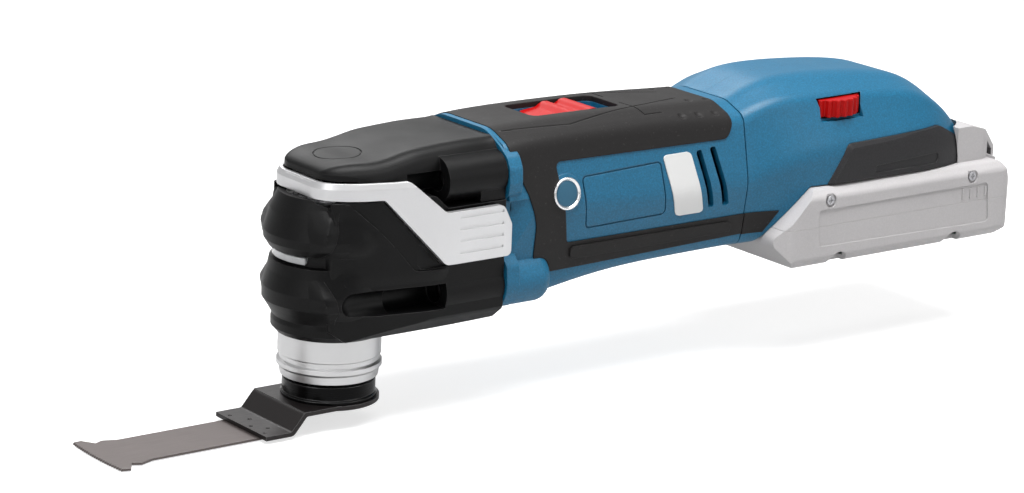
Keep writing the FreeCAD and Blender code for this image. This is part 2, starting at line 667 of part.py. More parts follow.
def screw_way(side):
    """The trough along the flank that leads a driver to the lower screw; it ends blind on the nose."""
    y0, y1 = sorted((side * BOSS_Y, side * 40.0))
    front_y = side * WAY_FRONT_Y
    return [
        rod_x(WAY_R, WAY_X[1], BOSS_FRONT_X, side * BOSS_Y, BOSS_LOW_Z),
        box(WAY_X[1], BOSS_FRONT_X, y0, y1, BOSS_LOW_Z - WAY_R, BOSS_LOW_Z + WAY_R),
        rod_x(WAY_R, WAY_X[0], WAY_X[1] + 0.5, front_y, BOSS_LOW_Z),
        Part.makeSphere(WAY_R, V(WAY_X[0], front_y, BOSS_LOW_Z)),
    ]


def lever_room():
    """What must be clear of the head so that the lever lies along it and swings up."""
    side = plate_y([
        (-30.0, BAND_Z[0] - 0.6), (4.4, BAND_Z[0] - 0.6), (26.0, PADDLE_Z[0] - 0.5), (60.0, PADDLE_Z[0] - 0.5),
        (60.0, 95.0), (-30.0, 95.0),
    ], 0, -45.0, 45.0)
    return fuse([side.cut(lever_block(LEVER_T + 0.45, 40.0, 100.0)), side.common(lever_sweep())])


def lever_sweep():
    """The rings round the pivot that the arms' inner faces pass through as they swing."""
    front_r = math.hypot(4.8 - PIVOT_X, BAND_Z[0] - PIVOT_Z)
    rear_r = math.hypot(26.6 - PIVOT_X, PADDLE_Z[0] - PIVOT_Z)
    rear_y = PADDLE_OUT_Y - LEVER_T - 0.6
    profile = [
        (front_r - 3.0, 22.0), (front_r, 22.6), (rear_r, rear_y), (80.0, rear_y), (80.0, 45.0),
        (front_r - 3.0, 45.0),
    ]
    rings = []
    for side in (-1, 1):
        wire = Part.makePolygon([V(PIVOT_X + r, side * y, PIVOT_Z) for r, y in profile + profile[:1]])
        rings.append(Part.Face(wire).revolve(V(PIVOT_X, 0, PIVOT_Z), V(0, 1, 0), 360))
    return fuse(rings)


def below_plan(depth):
    """The skin of the flanks, depth thick, used to sink a panel evenly."""
    plan = mirrored_plan(HEAD_PLAN)
    inner = mirrored_plan([(x, y - depth) for x, y in HEAD_PLAN])
    outer = plate_z([(x, y + math.copysign(6.0, y)) for x, y in plan], 0, 20.0, 90.0)
    return outer.cut(plate_z(inner, [1.5, 30.0, 40.0, 0, 0, 40.0, 30.0, 1.5], 19.0, 91.0))


LIGHT_Z = (51.4, 53.8)
LIGHT_HALF_DEG = 30.0


def ring_sector(r_in, r_out, z0, z1, half_deg):
    """A piece of ring centred on the front of the nose."""
    ring = tube_z(r_out, r_in, z0, z1)
    reach = 60.0
    a = math.radians(half_deg)
    wedge = Part.makePolygon([
        V(0, 0, z0), V(-reach * math.cos(a), reach * math.sin(a), z0),
        V(-reach * math.cos(a), -reach * math.sin(a), z0), V(0, 0, z0),
    ])
    return ring.common(Part.Face(wedge).extrude(V(0, 0, z1 - z0)))


def light_room():
    return ring_sector(CASE_R + 0.1, 26.0, LIGHT_Z[0] - 0.1, LIGHT_Z[1] + 0.1, LIGHT_HALF_DEG + 1.0)


def make_work_light():
    board_r = CASE_R + 0.3
    save("work_light_board", ring_sector(board_r, board_r + 1.0, LIGHT_Z[0], LIGHT_Z[1], LIGHT_HALF_DEG))
    save("work_light_lens", ring_sector(board_r + 1.1, 20.9, LIGHT_Z[0], LIGHT_Z[1], LIGHT_HALF_DEG))


CAP_LOW_Z = 74.8
CAP_NOSE_X = -13.0
CAP_FULL_X = 9.0
CAP_NOSE = (11.0, 82.4)
CAP_FULL = (22.6, 86.9)
CAP_NOSE_STEPS = (-13.0, -11.2, -8.6, -5.0, -0.4, 5.0)
CAP_REAR = [(11.0, 87.6), (18.0, 89.0), (26.0, 89.9), (35.0, 90.4), (45.0, 90.6), (HEAD_REAR_X, 90.8)]
CAP_SHOULDER = (3.6, 5.0)
CAP_RING = (8.6, 8.1, 0.4)
CAP_RING_X = 1.5


def cap_wires():
    """The cap's cross sections: a blunt, flat-topped nose that climbs back to the housing."""
    stations = []
    for x in CAP_NOSE_STEPS:
        share = (x - CAP_NOSE_X) / (CAP_FULL_X - CAP_NOSE_X)
        wide = math.sqrt(1.0 - (1.0 - share) ** 2)
        high = math.sqrt(1.0 - (1.0 - share) ** 4)
        half_w = CAP_NOSE[0] + wide * (CAP_FULL[0] - CAP_NOSE[0])
        top = CAP_NOSE[1] + high * (CAP_FULL[1] - CAP_NOSE[1])
        stations.append((x, half_w, top, 0.4 + 0.6 * high))
    stations += [(x, CAP_FULL[0], top, 1.0) for x, top in CAP_REAR]
    wires = []
    for x, half_w, top, share in stations:
        in_y, down = CAP_SHOULDER[0] * share, CAP_SHOULDER[1] * share
        half = [(half_w - in_y, top), (half_w, top - down), (half_w, CAP_LOW_Z)]
        points = half + [(-y, z) for y, z in reversed(half)]
        radii = [5.0 * share, 7.0 * share, 0.0]
        wires.append(closed_wire(points, radii + radii[::-1], lambda y, z, x=x: V(x, y, z)))
    return wires


def make_head_cap():
    """The upper head cover: its nose sits inside the lever's band, its rear carries two screw bosses."""
    gap = 0.2
    ledge_z = BAND_Z[1] + 0.5
    dome = Part.makeLoft(cap_wires(), True, False).common(lever_block(LEVER_T + 0.4, CAP_LOW_Z - 1, 100.0))
    dome = dome.cut(box(-20.0, -3.0, -40.0, 40.0, 70.0, ledge_z))
    ring_out, ring_in, ring_depth = CAP_RING
    sunk = dome.copy()
    sunk.translate(V(0, 0, -ring_depth))
    dome = dome.cut(tube_z(ring_out, ring_in, ledge_z + 3.0, 100.0, CAP_RING_X).cut(sunk))
    parts = [dome]
    for side in (-1, 1):
        parts.append(rod_x(BOSS_R, BOSS_FRONT_X, HEAD_REAR_X, side * BOSS_Y, BOSS_UP_Z))
        y0, y1 = sorted((side * BOSS_Y, side * (BOSS_Y + 7.0)))
        parts.append(box(FLANGE_PLATE_X[0] - 3.0, HEAD_REAR_X, y0, y1, BOSS_UP_Z - BOSS_R, BOSS_UP_Z))
    rocker_top, knuckle_top = 84.6, 82.6
    whole = cut(fuse(parts), [
        rod_z(9.6, 70.0, rocker_top),
        box(-11.6, -9.6, -8.7, 8.7, 70.0, knuckle_top),
        box(-10.2, 3.0, -8.7, 8.7, 70.0, rocker_top),
        box(-8.4, -2.6, -12.0, 12.0, 70.0, rocker_top - 0.4),
        rod_z(CASE_R + gap, 70.0, CASE_TOP_Z + BRACKET_T + 1.6),
        rod_x(TUNNEL_R + gap, 8.0, 60.0, 0.0, MOTOR_Z),
        box(FLANGE_PLATE_X[0] - gap, 60.0, -BOSS_Y - 5.0 - gap, BOSS_Y + 5.0 + gap, 60.0, BOSS_UP_Z + 5.0 + gap),
        box(18.0, 60.0, -BOSS_Y + BOSS_R + 0.4, BOSS_Y - BOSS_R - 0.4, 60.0, CAP_REAR[1][1] - 3.2),
    ])
    save("head_cap", cut(whole, screw_room()))


def make_head_screws():
    screws = []
    for y, z in screw_places():
        head = rod_x(SCREW_HEAD_R, BOSS_FRONT_X + 4.4, BOSS_FRONT_X + 8.0, y, z)
        socket = plate_x([
            (y + 1.7 * math.cos(math.radians(60 * i)), z + 1.7 * math.sin(math.radians(60 * i))) for i in range(6)
        ], 0, BOSS_FRONT_X + 4.0, BOSS_FRONT_X + 6.4)
        shank = rod_x(SCREW_R, BOSS_FRONT_X + 8.0, 68.0, y, z)
        screws.append(fuse([head, shank]).cut(socket))
    save("head_screws", *screws)


# ---------------------------------------------------------------- release lever
LEVER_PLAN = [(BAND_X, 14.6), (-6.0, 21.9), (26.4, PADDLE_OUT_Y), (PADDLE_X[1] + 6.0, PADDLE_OUT_Y)]
LEVER_RADII = [12.0, 30.0, 25.0, 0.0]


def plan_inset(points, depth):
    """Moves the lever's plan inwards by depth, its two rear ends staying level."""
    flipped = inset([(x_y[1], -x_y[0]) for x_y in points], depth)
    return [(-z, y) for y, z in flipped[:-1]] + [(points[-1][0], points[-1][1] - depth)]


def lever_block(depth, z0, z1):
    plan = plan_inset(LEVER_PLAN, depth) if depth else LEVER_PLAN
    radii = [max(1.0, r - depth) for r in LEVER_RADII[:3]] + [0.0]
    return plate_z(mirrored_plan(list(plan)), radii + list(reversed(radii)), z0, z1)


HEEL_RELIEF = 1.0


def lever_wire(depth, z):
    plan = plan_inset(LEVER_PLAN, depth) if depth else LEVER_PLAN
    radii = [max(1.0, r - depth) for r in LEVER_RADII[:3]] + [0.0]
    return closed_wire(mirrored_plan(list(plan)), radii + list(reversed(radii)), lambda x, y: V(x, y, z))


def make_release_lever():
    """A bail bent round the nose: its band hides the pin, its paddles lie along the flanks."""
    chamfer_z = BAND_Z[1] - 2.0
    outer = lever_block(0.0, PADDLE_Z[0] - 2, chamfer_z)
    bevel = Part.makeLoft([lever_wire(0.0, chamfer_z), lever_wire(1.3, BAND_Z[1] + 0.6)], True, True)
    shell = fuse([outer, bevel]).cut(lever_block(LEVER_T, PADDLE_Z[0] - 4, BAND_Z[1] + 4))
    side = plate_y([
        (-20.0, BAND_Z[0]), (4.8, BAND_Z[0]), (26.6, PADDLE_Z[0]), (PADDLE_X[1], PADDLE_Z[0]),
        (PADDLE_X[1], 62.0), (PADDLE_X[1] - 3.6, PADDLE_Z[1]), (26.4, PADDLE_Z[1]), (13.6, BAND_Z[1] + 0.2),
        (9.0, BAND_Z[1]), (-20.0, BAND_Z[1]),
    ], [0, 1.5, 3.0, 2.0, 3.0, 3.0, 4.0, 2.5, 0, 0], -50.0, 50.0)
    shell = shell.common(side)
    knuckle = rod_y(KNUCKLE_R, -KNUCKLE_HALF_W, KNUCKLE_HALF_W, PIVOT_X, PIVOT_Z)
    bridge = box(BAND_X + 0.6, PIVOT_X, -KNUCKLE_HALF_W, KNUCKLE_HALF_W, PIVOT_Z - 2.2, BAND_Z[1] - 0.6)
    a = math.radians(CAM_DEG)
    cam = plate_y([
        (PIVOT_X + 2.2 * math.cos(a + 1.6), PIVOT_Z + 2.2 * math.sin(a + 1.6)),
        (PIVOT_X + CAM_R * math.cos(a + 0.22), PIVOT_Z + CAM_R * math.sin(a + 0.22)),
        (PIVOT_X + CAM_R * math.cos(a - 0.22), PIVOT_Z + CAM_R * math.sin(a - 0.22)),
        (PIVOT_X + 2.2 * math.cos(a - 1.6), PIVOT_Z + 2.2 * math.sin(a - 1.6)),
    ], [0, 0.6, 0.6, 0], -3.0, 3.0)
    bridge = bridge.common(lever_block(0.2, 60.0, 90.0))
    whole = fuse([shell, knuckle, bridge, cam])
    ear_room_y = EAR_Y[1] + 1.0
    tools = [rod_y(PIN_R + RUN_FIT, -ear_room_y, ear_room_y, PIVOT_X, PIVOT_Z)]
    for side_y in (-1, 1):
        y0, y1 = sorted((side_y * (KNUCKLE_HALF_W + 0.05), side_y * ear_room_y))
        tools.append(rod_y(2.5, y0, y1, PIVOT_X, PIVOT_Z))
        inner_x = BAND_X + LEVER_T
        tools.append(box(inner_x - HEEL_RELIEF, inner_x + 1, y0, y1, BAND_Z[0] - 1, BAND_Z[0] + HEEL_RELIEF))
    pitch = (PADDLE_Z[1] - PADDLE_Z[0] - 6.0) / (GRIP_GROOVES - 1)
    for i in range(GRIP_GROOVES):
        z = PADDLE_Z[0] + 3.4 + i * pitch
        for side_y in (-1, 1):
            y0, y1 = sorted((side_y * (PADDLE_OUT_Y - 0.45), side_y * (PADDLE_OUT_Y + 2)))
            tools.append(box(PADDLE_X[0] + 4.0, PADDLE_X[1] - 3.6, y0, y1, z, z + 1.0))
    save("release_lever", cut(whole, tools))


def make_lever_pins():
    save("lever_hinge_pin", rod_y(PIN_R - RUN_FIT, -EAR_Y[1], EAR_Y[1], PIVOT_X, PIVOT_Z))
    save("rocker_pin", rod_y(PIN_R - RUN_FIT, -POST_Y[1], POST_Y[1], ROCKER_X, ROCKER_Z))


def make_rocker():
    """A small see-saw: the lever's cam lifts its front, its rear presses the rod down."""
    hub = rod_y(1.9, -ROCKER_HALF_W, ROCKER_HALF_W, ROCKER_X, ROCKER_Z)
    front = plate_y([
        (ROCKER_X - 4.0, ROCKER_Z - 1.1), (ROCKER_X - 4.0, ROCKER_Z + 0.7), (ROCKER_X, ROCKER_Z + 1.9),
        (ROCKER_X, ROCKER_Z - 1.2),
    ], 0, -3.4, 3.4)
    rear = plate_y([
        (ROCKER_X, ROCKER_Z + 1.9), (0.6, ROD_TOP_Z + 3.2), (2.0, ROD_TOP_Z + 1.8), (1.2, ROD_TOP_Z + 0.35),
        (-1.0, ROD_TOP_Z + 0.35), (ROCKER_X, ROCKER_Z - 1.6),
    ], [0, 0.8, 0.8, 0.6, 0.6, 0], -3.4, 3.4)
    save("release_rocker", cut(fuse([hub, front, rear]), [rod_y(PIN_R + RUN_FIT, -9, 9, ROCKER_X, ROCKER_Z)]))


# ---------------------------------------------------------------- accessory
def make_blade_carrier():
    """The pressed mount of the blade: seat disc, twelve-lobed crown, crank and spot-welded toe."""
    disc = rod_z(CARRIER_R, -CARRIER_T, 0.0)
    tongue = box(CRANK_X[0], 0.0, -CARRIER_HALF_W, CARRIER_HALF_W, -CARRIER_T, 0.0)
    t = CARRIER_T
    crank = plate_y([
        (CRANK_X[0] + 1.5, 0.0), (CRANK_X[0], 0.0), (CRANK_X[1], -CRANK_DROP), (CARRIER_FRONT_X, -CRANK_DROP),
        (CARRIER_FRONT_X, -CRANK_DROP - t), (CRANK_X[1] + 0.9, -CRANK_DROP - t), (CRANK_X[0] + 0.9, -t),
        (CRANK_X[0] + 1.5, -t),
    ], [0, 2.6, 1.2, 0, 0, 2.6, 1.2, 0], -CARRIER_HALF_W, CARRIER_HALF_W)
    wall = 1.3
    crown = star_cone(0.0, 0.0, STAR_H)
    inner = star_cone(-wall, -CARRIER_T, STAR_H - wall)
    whole = fuse([disc, tongue, crank, crown])
    tools = [inner, rod_z(5.0, -CARRIER_T - 1, STAR_H + 1)]
    for x, y in ((-34.4, -12.4), (-34.4, -3.4), (-30.6, 3.4), (-34.4, 10.4), (-30.6, -8.4)):
        tools.append(Part.makeSphere(1.3, V(x, y, -CRANK_DROP + 0.9)))
    save("blade_carrier", cut(whole, tools))


def make_saw_blade():
    """The thin blade under the toe: straight flanks, fish-tail ears and a toothed front edge."""
    z1 = -CRANK_DROP - CARRIER_T
    half = BLADE_HALF_W
    tip = BLADE_TIP_HALF_W
    count = int(2 * tip / TOOTH_PITCH)
    pitch = 2 * tip / count
    teeth = []
    for i in range(count):
        y = tip - i * pitch
        belly = 0.9 * (1 - (y / tip) ** 2)
        teeth.append((BLADE_TIP_X + TOOTH_DEPTH - belly, y))
        teeth.append((BLADE_TIP_X - belly, y - pitch * 0.35))
    side = [(-27.6, half), (-79.0, half), (-84.5, half + 2.0), (-87.6, half + 0.4), (-90.6, tip)]
    points = side + teeth + [(x, -y) for x, y in reversed(side)]
    save("saw_blade", plate_z(points, 0, z1 - BLADE_T, z1))


make_head_body()
make_work_light()
make_head_cap()
make_head_screws()
make_release_lever()
make_lever_pins()
make_rocker()
make_blade_carrier()
make_saw_blade()


# ---------------------------------------------------------------- motor
def turned(shape, deg):
    """A copy turned about the motor line."""
    copy = shape.copy()
    copy.rotate(V(0, 0, MOTOR_Z), V(1, 0, 0), deg)
    return copy


def make_stator():
    x0, x1 = STATOR_X
    bore = ROTOR_R + ROTOR_GAP
    ring = tube_x(STATOR_R, STATOR_R - 4.0, x0, x1, 0.0, MOTOR_Z)
    shoes = tube_x(bore + 1.3, bore, x0, x1, 0.0, MOTOR_Z)
    step = 360.0 / SLOTS
    mouth = box(x0 - 1, x1 + 1, -1.2, 1.2, MOTOR_Z + 5.0, MOTOR_Z + bore + 2.0)
    shoes = cut(shoes, [turned(mouth, step * (i + 0.5)) for i in range(SLOTS)])
    tooth = box(x0, x1, -TOOTH_W / 2, TOOTH_W / 2, MOTOR_Z + bore + 0.6, MOTOR_Z + STATOR_R - 3.5)
    save("motor_stator", fuse([ring, shoes] + [turned(tooth, step * i) for i in range(SLOTS)]))
    low = MOTOR_Z + bore + 1.35
    coil = plate_z([
        (x0 - COIL_OUT, -COIL_HALF_W), (x1 + COIL_OUT, -COIL_HALF_W), (x1 + COIL_OUT, COIL_HALF_W),
        (x0 - COIL_OUT, COIL_HALF_W),
    ], 2.6, low, MOTOR_Z + STATOR_R - 5.05)
    coil = coil.cut(box(x0 - 0.05, x1 + 0.05, -TOOTH_W / 2 - 0.05, TOOTH_W / 2 + 0.05, low - 1, low + 9))
    save("stator_coils", *[turned(coil, step * i) for i in range(SLOTS)])


TOOTH_W = 5.0
COIL_OUT = 3.4
COIL_HALF_W = 5.5
MAGNETS = 4
COUNTERWEIGHT_X = (27.0, 37.0)
SHAFT_STEP_X = 104.0


def make_rotor():
    x0, x1 = STATOR_X[0] + 0.5, STATOR_X[1] - 0.5
    core = tube_x(ROTOR_R, SHAFT_R, x0, x1, 0.0, MOTOR_Z)
    magnet = box(x0, x1, -4.6, 4.6, MOTOR_Z + 7.4, MOTOR_Z + 9.2)
    magnets = [turned(magnet, i * 360.0 / MAGNETS) for i in range(MAGNETS)]
    save("rotor_core", cut(core, magnets))
    save("rotor_magnets", *magnets)
    journal_r = ECC_BEARING[1]
    shaft = fuse([
        rod_x(journal_r, ECC_X - 3.0, ECC_X + 3.0, 0.0, MOTOR_Z + ECC_OFFSET),
        rod_x(SHAFT_R, ECC_X + 3.0, SHAFT_STEP_X, 0.0, MOTOR_Z),
        rod_x(SHAFT_TAIL_R, SHAFT_STEP_X, REAR_BEARING_X + REAR_BEARING[2] + 1.0, 0.0, MOTOR_Z),
    ])
    save("motor_shaft", shaft)
    width = ECC_BEARING[2]
    bearing = bearing_x(ECC_BEARING[0], journal_r + RUN_FIT, ECC_X - width / 2, width)
    bearing.translate(V(0, 0, ECC_OFFSET))
    save("eccentric_bearing", bearing)
    x0, x1 = COUNTERWEIGHT_X
    bore = SHAFT_R + PRESS_PLAY
    mass = tube_x(12.6, bore, x0, x1, 0.0, MOTOR_Z)
    mass = mass.cut(box(x0 - 1, x1 + 1, -20, 20, MOTOR_Z + 2.0, MOTOR_Z + 20))
    save("counterweight", fuse([mass, tube_x(6.2, bore, x0, x1, 0.0, MOTOR_Z)]))


def make_fan():
    x0, x1 = FAN_X
    hub = tube_x(6.0, SHAFT_TAIL_R, x0, x1, 0.0, MOTOR_Z)
    back = tube_x(FAN_R, SHAFT_TAIL_R, x0, x0 + 1.2, 0.0, MOTOR_Z)
    blades = []
    for i in range(FAN_BLADES):
        a0 = 2 * math.pi * i / FAN_BLADES
        outline = []
        for r, lag in ((5.0, 0.0), (10.0, 0.16), (15.0, 0.36), (FAN_R - 0.3, 0.62)):
            outline.append((r, a0 - lag))
        near = [(r * math.sin(a), MOTOR_Z + r * math.cos(a)) for r, a in outline]
        far = [(r * math.sin(a + 1.1 / r), MOTOR_Z + r * math.cos(a + 1.1 / r)) for r, a in reversed(outline)]
        blades.append(plate_x(near + far, 0, x0 + 0.8, x1))
    save("cooling_fan", fuse([hub, back] + blades))


# ---------------------------------------------------------------- motor housing and grip
RING_HALF = [
    (14.0, 92.2), (22.4, 88.0), (27.4, 84.6), (29.5, 80.6), (29.8, 75.4), (29.2, 71.6), (26.4, 69.2),
    (26.2, 48.8), (29.6, 45.0), (30.2, 37.6), (27.6, 31.0), (22.8, 28.6),
]
RING_RADII = [14.0, 4.0, 4.0, 4.0, 4.0, 2.0, 2.0, 2.0, 3.0, 6.0, 4.0, 3.0]
RING_END_X = 60.5
LOW_LOBE_END_X = 76.5
SLEEVE_SIDE = [
    (57.2, 99.0), (57.6, 84.0), (61.0, 77.0), (64.5, 70.0), (68.6, 58.0), (69.0, 45.4), (72.4, 40.2), (76.0, 39.5),
    (167.0, 42.0), (167.0, 49.9), (83.2, 49.8), (77.0, 80.2), (157.6, 79.2), (160.4, 84.0), (159.6, 99.0),
]
SLEEVE_SIDE_RADII = [0, 6.0, 8.0, 12.0, 10.0, 5.0, 3.0, 2.0, 0, 0, 1.5, 2.0, 4.0, 8.0, 0]
VENTS = [
    [(142.3, 76.3), (144.9, 76.7), (151.0, 54.6), (148.4, 54.4)],
    [(148.8, 76.9), (151.6, 77.1), (158.2, 54.6), (155.2, 54.4)],
]
BADGE_X = 81.1
BADGE_Z = 68.6
BADGE_R = 7.0
TRAY_FLOOR_Z = 88.6


def layer(stations, radii, outside, inside):
    """A skin that follows a housing, from outside mm above its surface to inside mm below it."""
    return housing_loft(stations, radii, -outside).cut(housing_loft(stations, radii, inside))


def low_lobes():
    lobes = []
    for side in (-1, 1):
        lobe = rod_x(LOBE_R - 1.2, RING_X, LOW_LOBE_END_X, side * BOSS_Y, BOSS_LOW_Z)
        rim = [e for e in lobe.Edges if e.BoundBox.XMin > LOW_LOBE_END_X - 0.01]
        lobes.append(lobe.makeFillet(5.0, rim))
    return lobes


def switch_pocket(grow=0.0):
    """The slot in the grip's top in which the slider runs."""
    x0, x1 = SLOT_X
    half = SLOT_HALF_W + grow
    outline = [(x0 - grow, -half), (x1 + grow, -half), (x1 + grow, half), (x0 - grow, half)]
    return plate_z(outline, 3.0, TRAY_FLOOR_Z - grow, 110.0)


CREASE_W = 0.6
CREASES = [
    [(60.0, 17.0), (88.5, 19.5), (127.0, 11.4), (148.0, 5.6)],
    [(122.4, 5.0), (123.1, 19.1), (131.0, 18.6)],
]
DIMPLES = [(150.4, 10.6), (158.3, 11.2), (138.7, 22.6), (146.7, 22.4), (154.7, 22.2)]
DIMPLE_R = 3.0
DIMPLE_DEPTH = 0.6
PANEL_SIDE = [(91.0, 54.0), (88.6, 73.6), (125.6, 74.8), (128.0, 54.8)]


def ribbon(points, side):
    """An upright strip, CREASE_W wide, over a line seen from above."""
    strips = []
    for (ax, ay), (bx, by) in zip(points[:-1], points[1:]):
        length = math.hypot(bx - ax, by - ay)
        ux, uy = (bx - ax) / length * CREASE_W / 2, (by - ay) / length * CREASE_W / 2
        corners = [(ax - ux - uy, ay - uy + ux), (bx + ux - uy, by + uy + ux),
                   (bx + ux + uy, by + uy - ux), (ax - ux + uy, ay - uy - ux)]
        strips.append(plate_z([(x, side * y) for x, y in corners], 0, 80.0, 100.0))
    return strips


def roof_z(x, y):
    """The height of the grip's top, before its corners are rounded."""
    for (x0, half0), (x1, half1) in zip(FRONT_STATIONS[:-1], FRONT_STATIONS[1:]):
        if x0 <= x <= x1:
            t = (x - x0) / (x1 - x0)
            (ay, az), (by, bz) = [
                (a[0] + (b[0] - a[0]) * t, a[1] + (b[1] - a[1]) * t) for a, b in zip(half0[:2], half1[:2])
            ]
    return az + (bz - az) * max(0.0, y - ay) / (by - ay)


def make_grip_sleeve():
    """The rubber over the grip: its top and front, and a strip below the side panels."""
    mask = plate_y(SLEEVE_SIDE, SLEEVE_SIDE_RADII, -50.0, 50.0)
    skin = layer(FRONT_STATIONS, SECTION_RADII, PROUD, LAYER).common(mask)
    seat = cut(skin, low_lobes() + [switch_pocket()])
    strips = []
    for side in (-1, 1):
        for line in CREASES:
            strips += ribbon(line, side)
    below = housing_loft(FRONT_STATIONS, SECTION_RADII)
    sleeve = seat.cut(fuse(strips).cut(below))
    for x, y in DIMPLES:
        z = roof_z(x, y) + PROUD - DIMPLE_DEPTH + DIMPLE_R
        sleeve = cut(sleeve, [Part.makeSphere(DIMPLE_R, V(x, side * y, z)) for side in (-1, 1)])
    save("grip_sleeve", sleeve)
    return seat


def make_motor_housing(sleeve):
    """The blue barrel round the motor, with its front ring, screw lobes, cradles and switch tray."""
    shell = housing_loft(FRONT_STATIONS, SECTION_RADII, x0=RING_X + 1.0)
    outline = RING_HALF + [(-y, z) for y, z in reversed(RING_HALF)]
    ring = plate_x(outline, RING_RADII + list(reversed(RING_RADII)), RING_X, RING_END_X)
    plate_w, plate_z0, plate_z1 = BOSS_Y + 4.6, BOSS_LOW_Z - 4.6, BOSS_UP_Z + 4.6
    spigot = box(FLANGE_PLATE_X[1], RING_X + 1, -plate_w, plate_w, plate_z0, plate_z1)
    whole = fuse([shell, ring, spigot] + low_lobes())
    waist = []
    for side in (-1, 1):
        plan = [(RING_X - 4, 25.8), (RING_X + 3, 26.0), (69.0, 29.4), (72.0, 36.0), (RING_X - 4, 40.0)]
        waist.append(plate_z([(x, side * y) for x, y in plan], [0, 6.0, 0, 0, 0], 49.6, 68.6))
    badge = layer(FRONT_STATIONS, SECTION_RADII, PROUD, WALL).common(rod_y(BADGE_R, -40, 40, BADGE_X, BADGE_Z))
    whole = cut(whole, waist + [sleeve])
    room = housing_loft(FRONT_STATIONS, SECTION_RADII, WALL, x0=RING_X + 3.0, x1=SEAM_X + 1.0)
    whole = fuse([whole.cut(room), badge])
    inside = []
    for x0, x1 in ((STATOR_X[0] + 2.0, STATOR_X[0] + 5.0), (STATOR_X[1] - 6.0, STATOR_X[1] - 3.0)):
        inside.append(room.common(box(x0, x1, -50, 50, 20, 84.6)))
    seat_x1 = REAR_BEARING_X + REAR_BEARING[2]
    bulkhead = room.common(box(seat_x1 - 3.0, seat_x1, -50, 50, 20, 100))
    tray = box(SLOT_X[0] - 2.0, SLOT_X[1] + 2.0, -SLOT_HALF_W - 2, SLOT_HALF_W + 2, TRAY_FLOOR_Z - 2, 91.0)
    inside += [bulkhead, room.common(tray), rod_x(REAR_BEARING[0] + 2.4, REAR_BEARING_X, seat_x1 + 1.0, 0, MOTOR_Z)]
    for y, z in screw_places():
        inside.append(rod_x(5.4, RING_X, 70.0, y, z))
    whole = fuse([whole] + inside)
    openings = [
        rod_x(STATOR_R + 0.05, FLANGE_PLATE_X[1] - 1, STATOR_X[1] - 2.0, 0.0, MOTOR_Z),
        rod_x(REAR_BEARING[0], REAR_BEARING_X - 1, seat_x1, 0.0, MOTOR_Z),
        rod_x(REAR_BEARING[0] - 2.5, seat_x1 - 1, seat_x1 + 2, 0.0, MOTOR_Z),
        switch_pocket(),
        box(STEM_X[0] - SWITCH_TRAVEL - 3.5, STEM_X[1] + 0.5, -2.6, 2.6, TRAY_FLOOR_Z - 6, TRAY_FLOOR_Z + 1),
        box(seat_x1 - 4.0, seat_x1 + 2.0, -3.0, 3.0, TRAY_FLOOR_Z - 5.6, TRAY_FLOOR_Z - 2.0),
    ]
    for y, z in screw_places():
        openings.append(rod_x(SCREW_R, FLANGE_PLATE_X[1] - 1, 68.6, y, z))
    for y in (-17.0, 17.0):
        for z in (MOTOR_Z - 15.0, MOTOR_Z + 13.0):
            openings.append(rod_x(5.0, seat_x1 - 4.0, seat_x1 + 1.0, y, z))
    for vent in VENTS:
        for side in (-1, 1):
            y0, y1 = sorted((side * 20.0, side * 40.0))
            openings.append(plate_y(vent, 0.9, y0, y1))
    border = plate_y(PANEL_SIDE, 2.0, -50, 50).cut(plate_y(shrunk(PANEL_SIDE, CREASE_W), 1.4, -51, 51))
    openings.append(layer(FRONT_STATIONS, SECTION_RADII, 1.0, CREASE_W).common(border))
    save("motor_housing", cut(whole, openings + [sleeve]))


# ---------------------------------------------------------------- switch
SLIDER_FRONT_X = 86.0
STEM_X = (98.0, 104.0)
MICRO_X = (160.0, 172.0)
MICRO_Z = (77.4, 85.6)
MICRO_HALF_W = 4.0
PLUNGER = 1.2


def make_switch():
    """The slider, the link bar hooked to its stem, and the micro-switch that the bar holds in when off."""
    x0, x1 = SLIDER_FRONT_X, SLIDER_FRONT_X + SLIDER_LEN
    half = SLOT_HALF_W - 0.4
    low = TRAY_FLOOR_Z + 0.1
    ridges = [
        (x0, low), (x1, low), (x1, 90.4), (x1 - 2.2, 91.2), (x1 - 6.0, 93.0), (x1 - 8.4, 93.0), (x1 - 11.0, 91.2),
        (x1 - 14.4, 92.8), (x1 - 16.8, 92.8), (x1 - 19.6, 91.1), (x0 + 1.6, 90.4), (x0, 89.8),
    ]
    body = plate_y(ridges, [0, 0, 0.6, 1.0, 3.6, 3.4, 2.0, 3.4, 3.4, 2.0, 0.8, 0], -half, half)
    rounded = plate_z([(x0, -half), (x1, -half), (x1, half), (x0, half)], 2.6, low - 1, 100.0)
    stem = box(STEM_X[0], STEM_X[1], -2.3, 2.3, 85.6, low + 1)
    save("switch_slider", fuse([body.common(rounded), stem]))
    z0, z1 = 83.2, 86.0
    bar = box(STEM_X[0] - 3.0, MICRO_X[0] - PLUNGER - 0.2, -2.4, 2.4, z0, z1)
    notch = box(STEM_X[0], STEM_X[1], -3, 3, 85.6, z1 + 1)
    save("switch_link", bar.cut(notch))
    half = MICRO_HALF_W
    block = box(MICRO_X[0], MICRO_X[1], -half, half, MICRO_Z[0], MICRO_Z[1])
    tip = rod_x(1.2, MICRO_X[0] - PLUNGER, MICRO_X[0], 0.0, MICRO_Z[1] - 1.4)
    low = MICRO_Z[0] + 2.0
    tags = [box(MICRO_X[1], MICRO_X[1] + 4.0, y - 1.2, y + 1.2, low, low + 0.6) for y in (-2.4, 2.4)]
    save("micro_switch", fuse([block, tip] + tags))


make_stator()
make_rotor()
make_fan()
make_motor_housing(make_grip_sleeve())
make_switch()


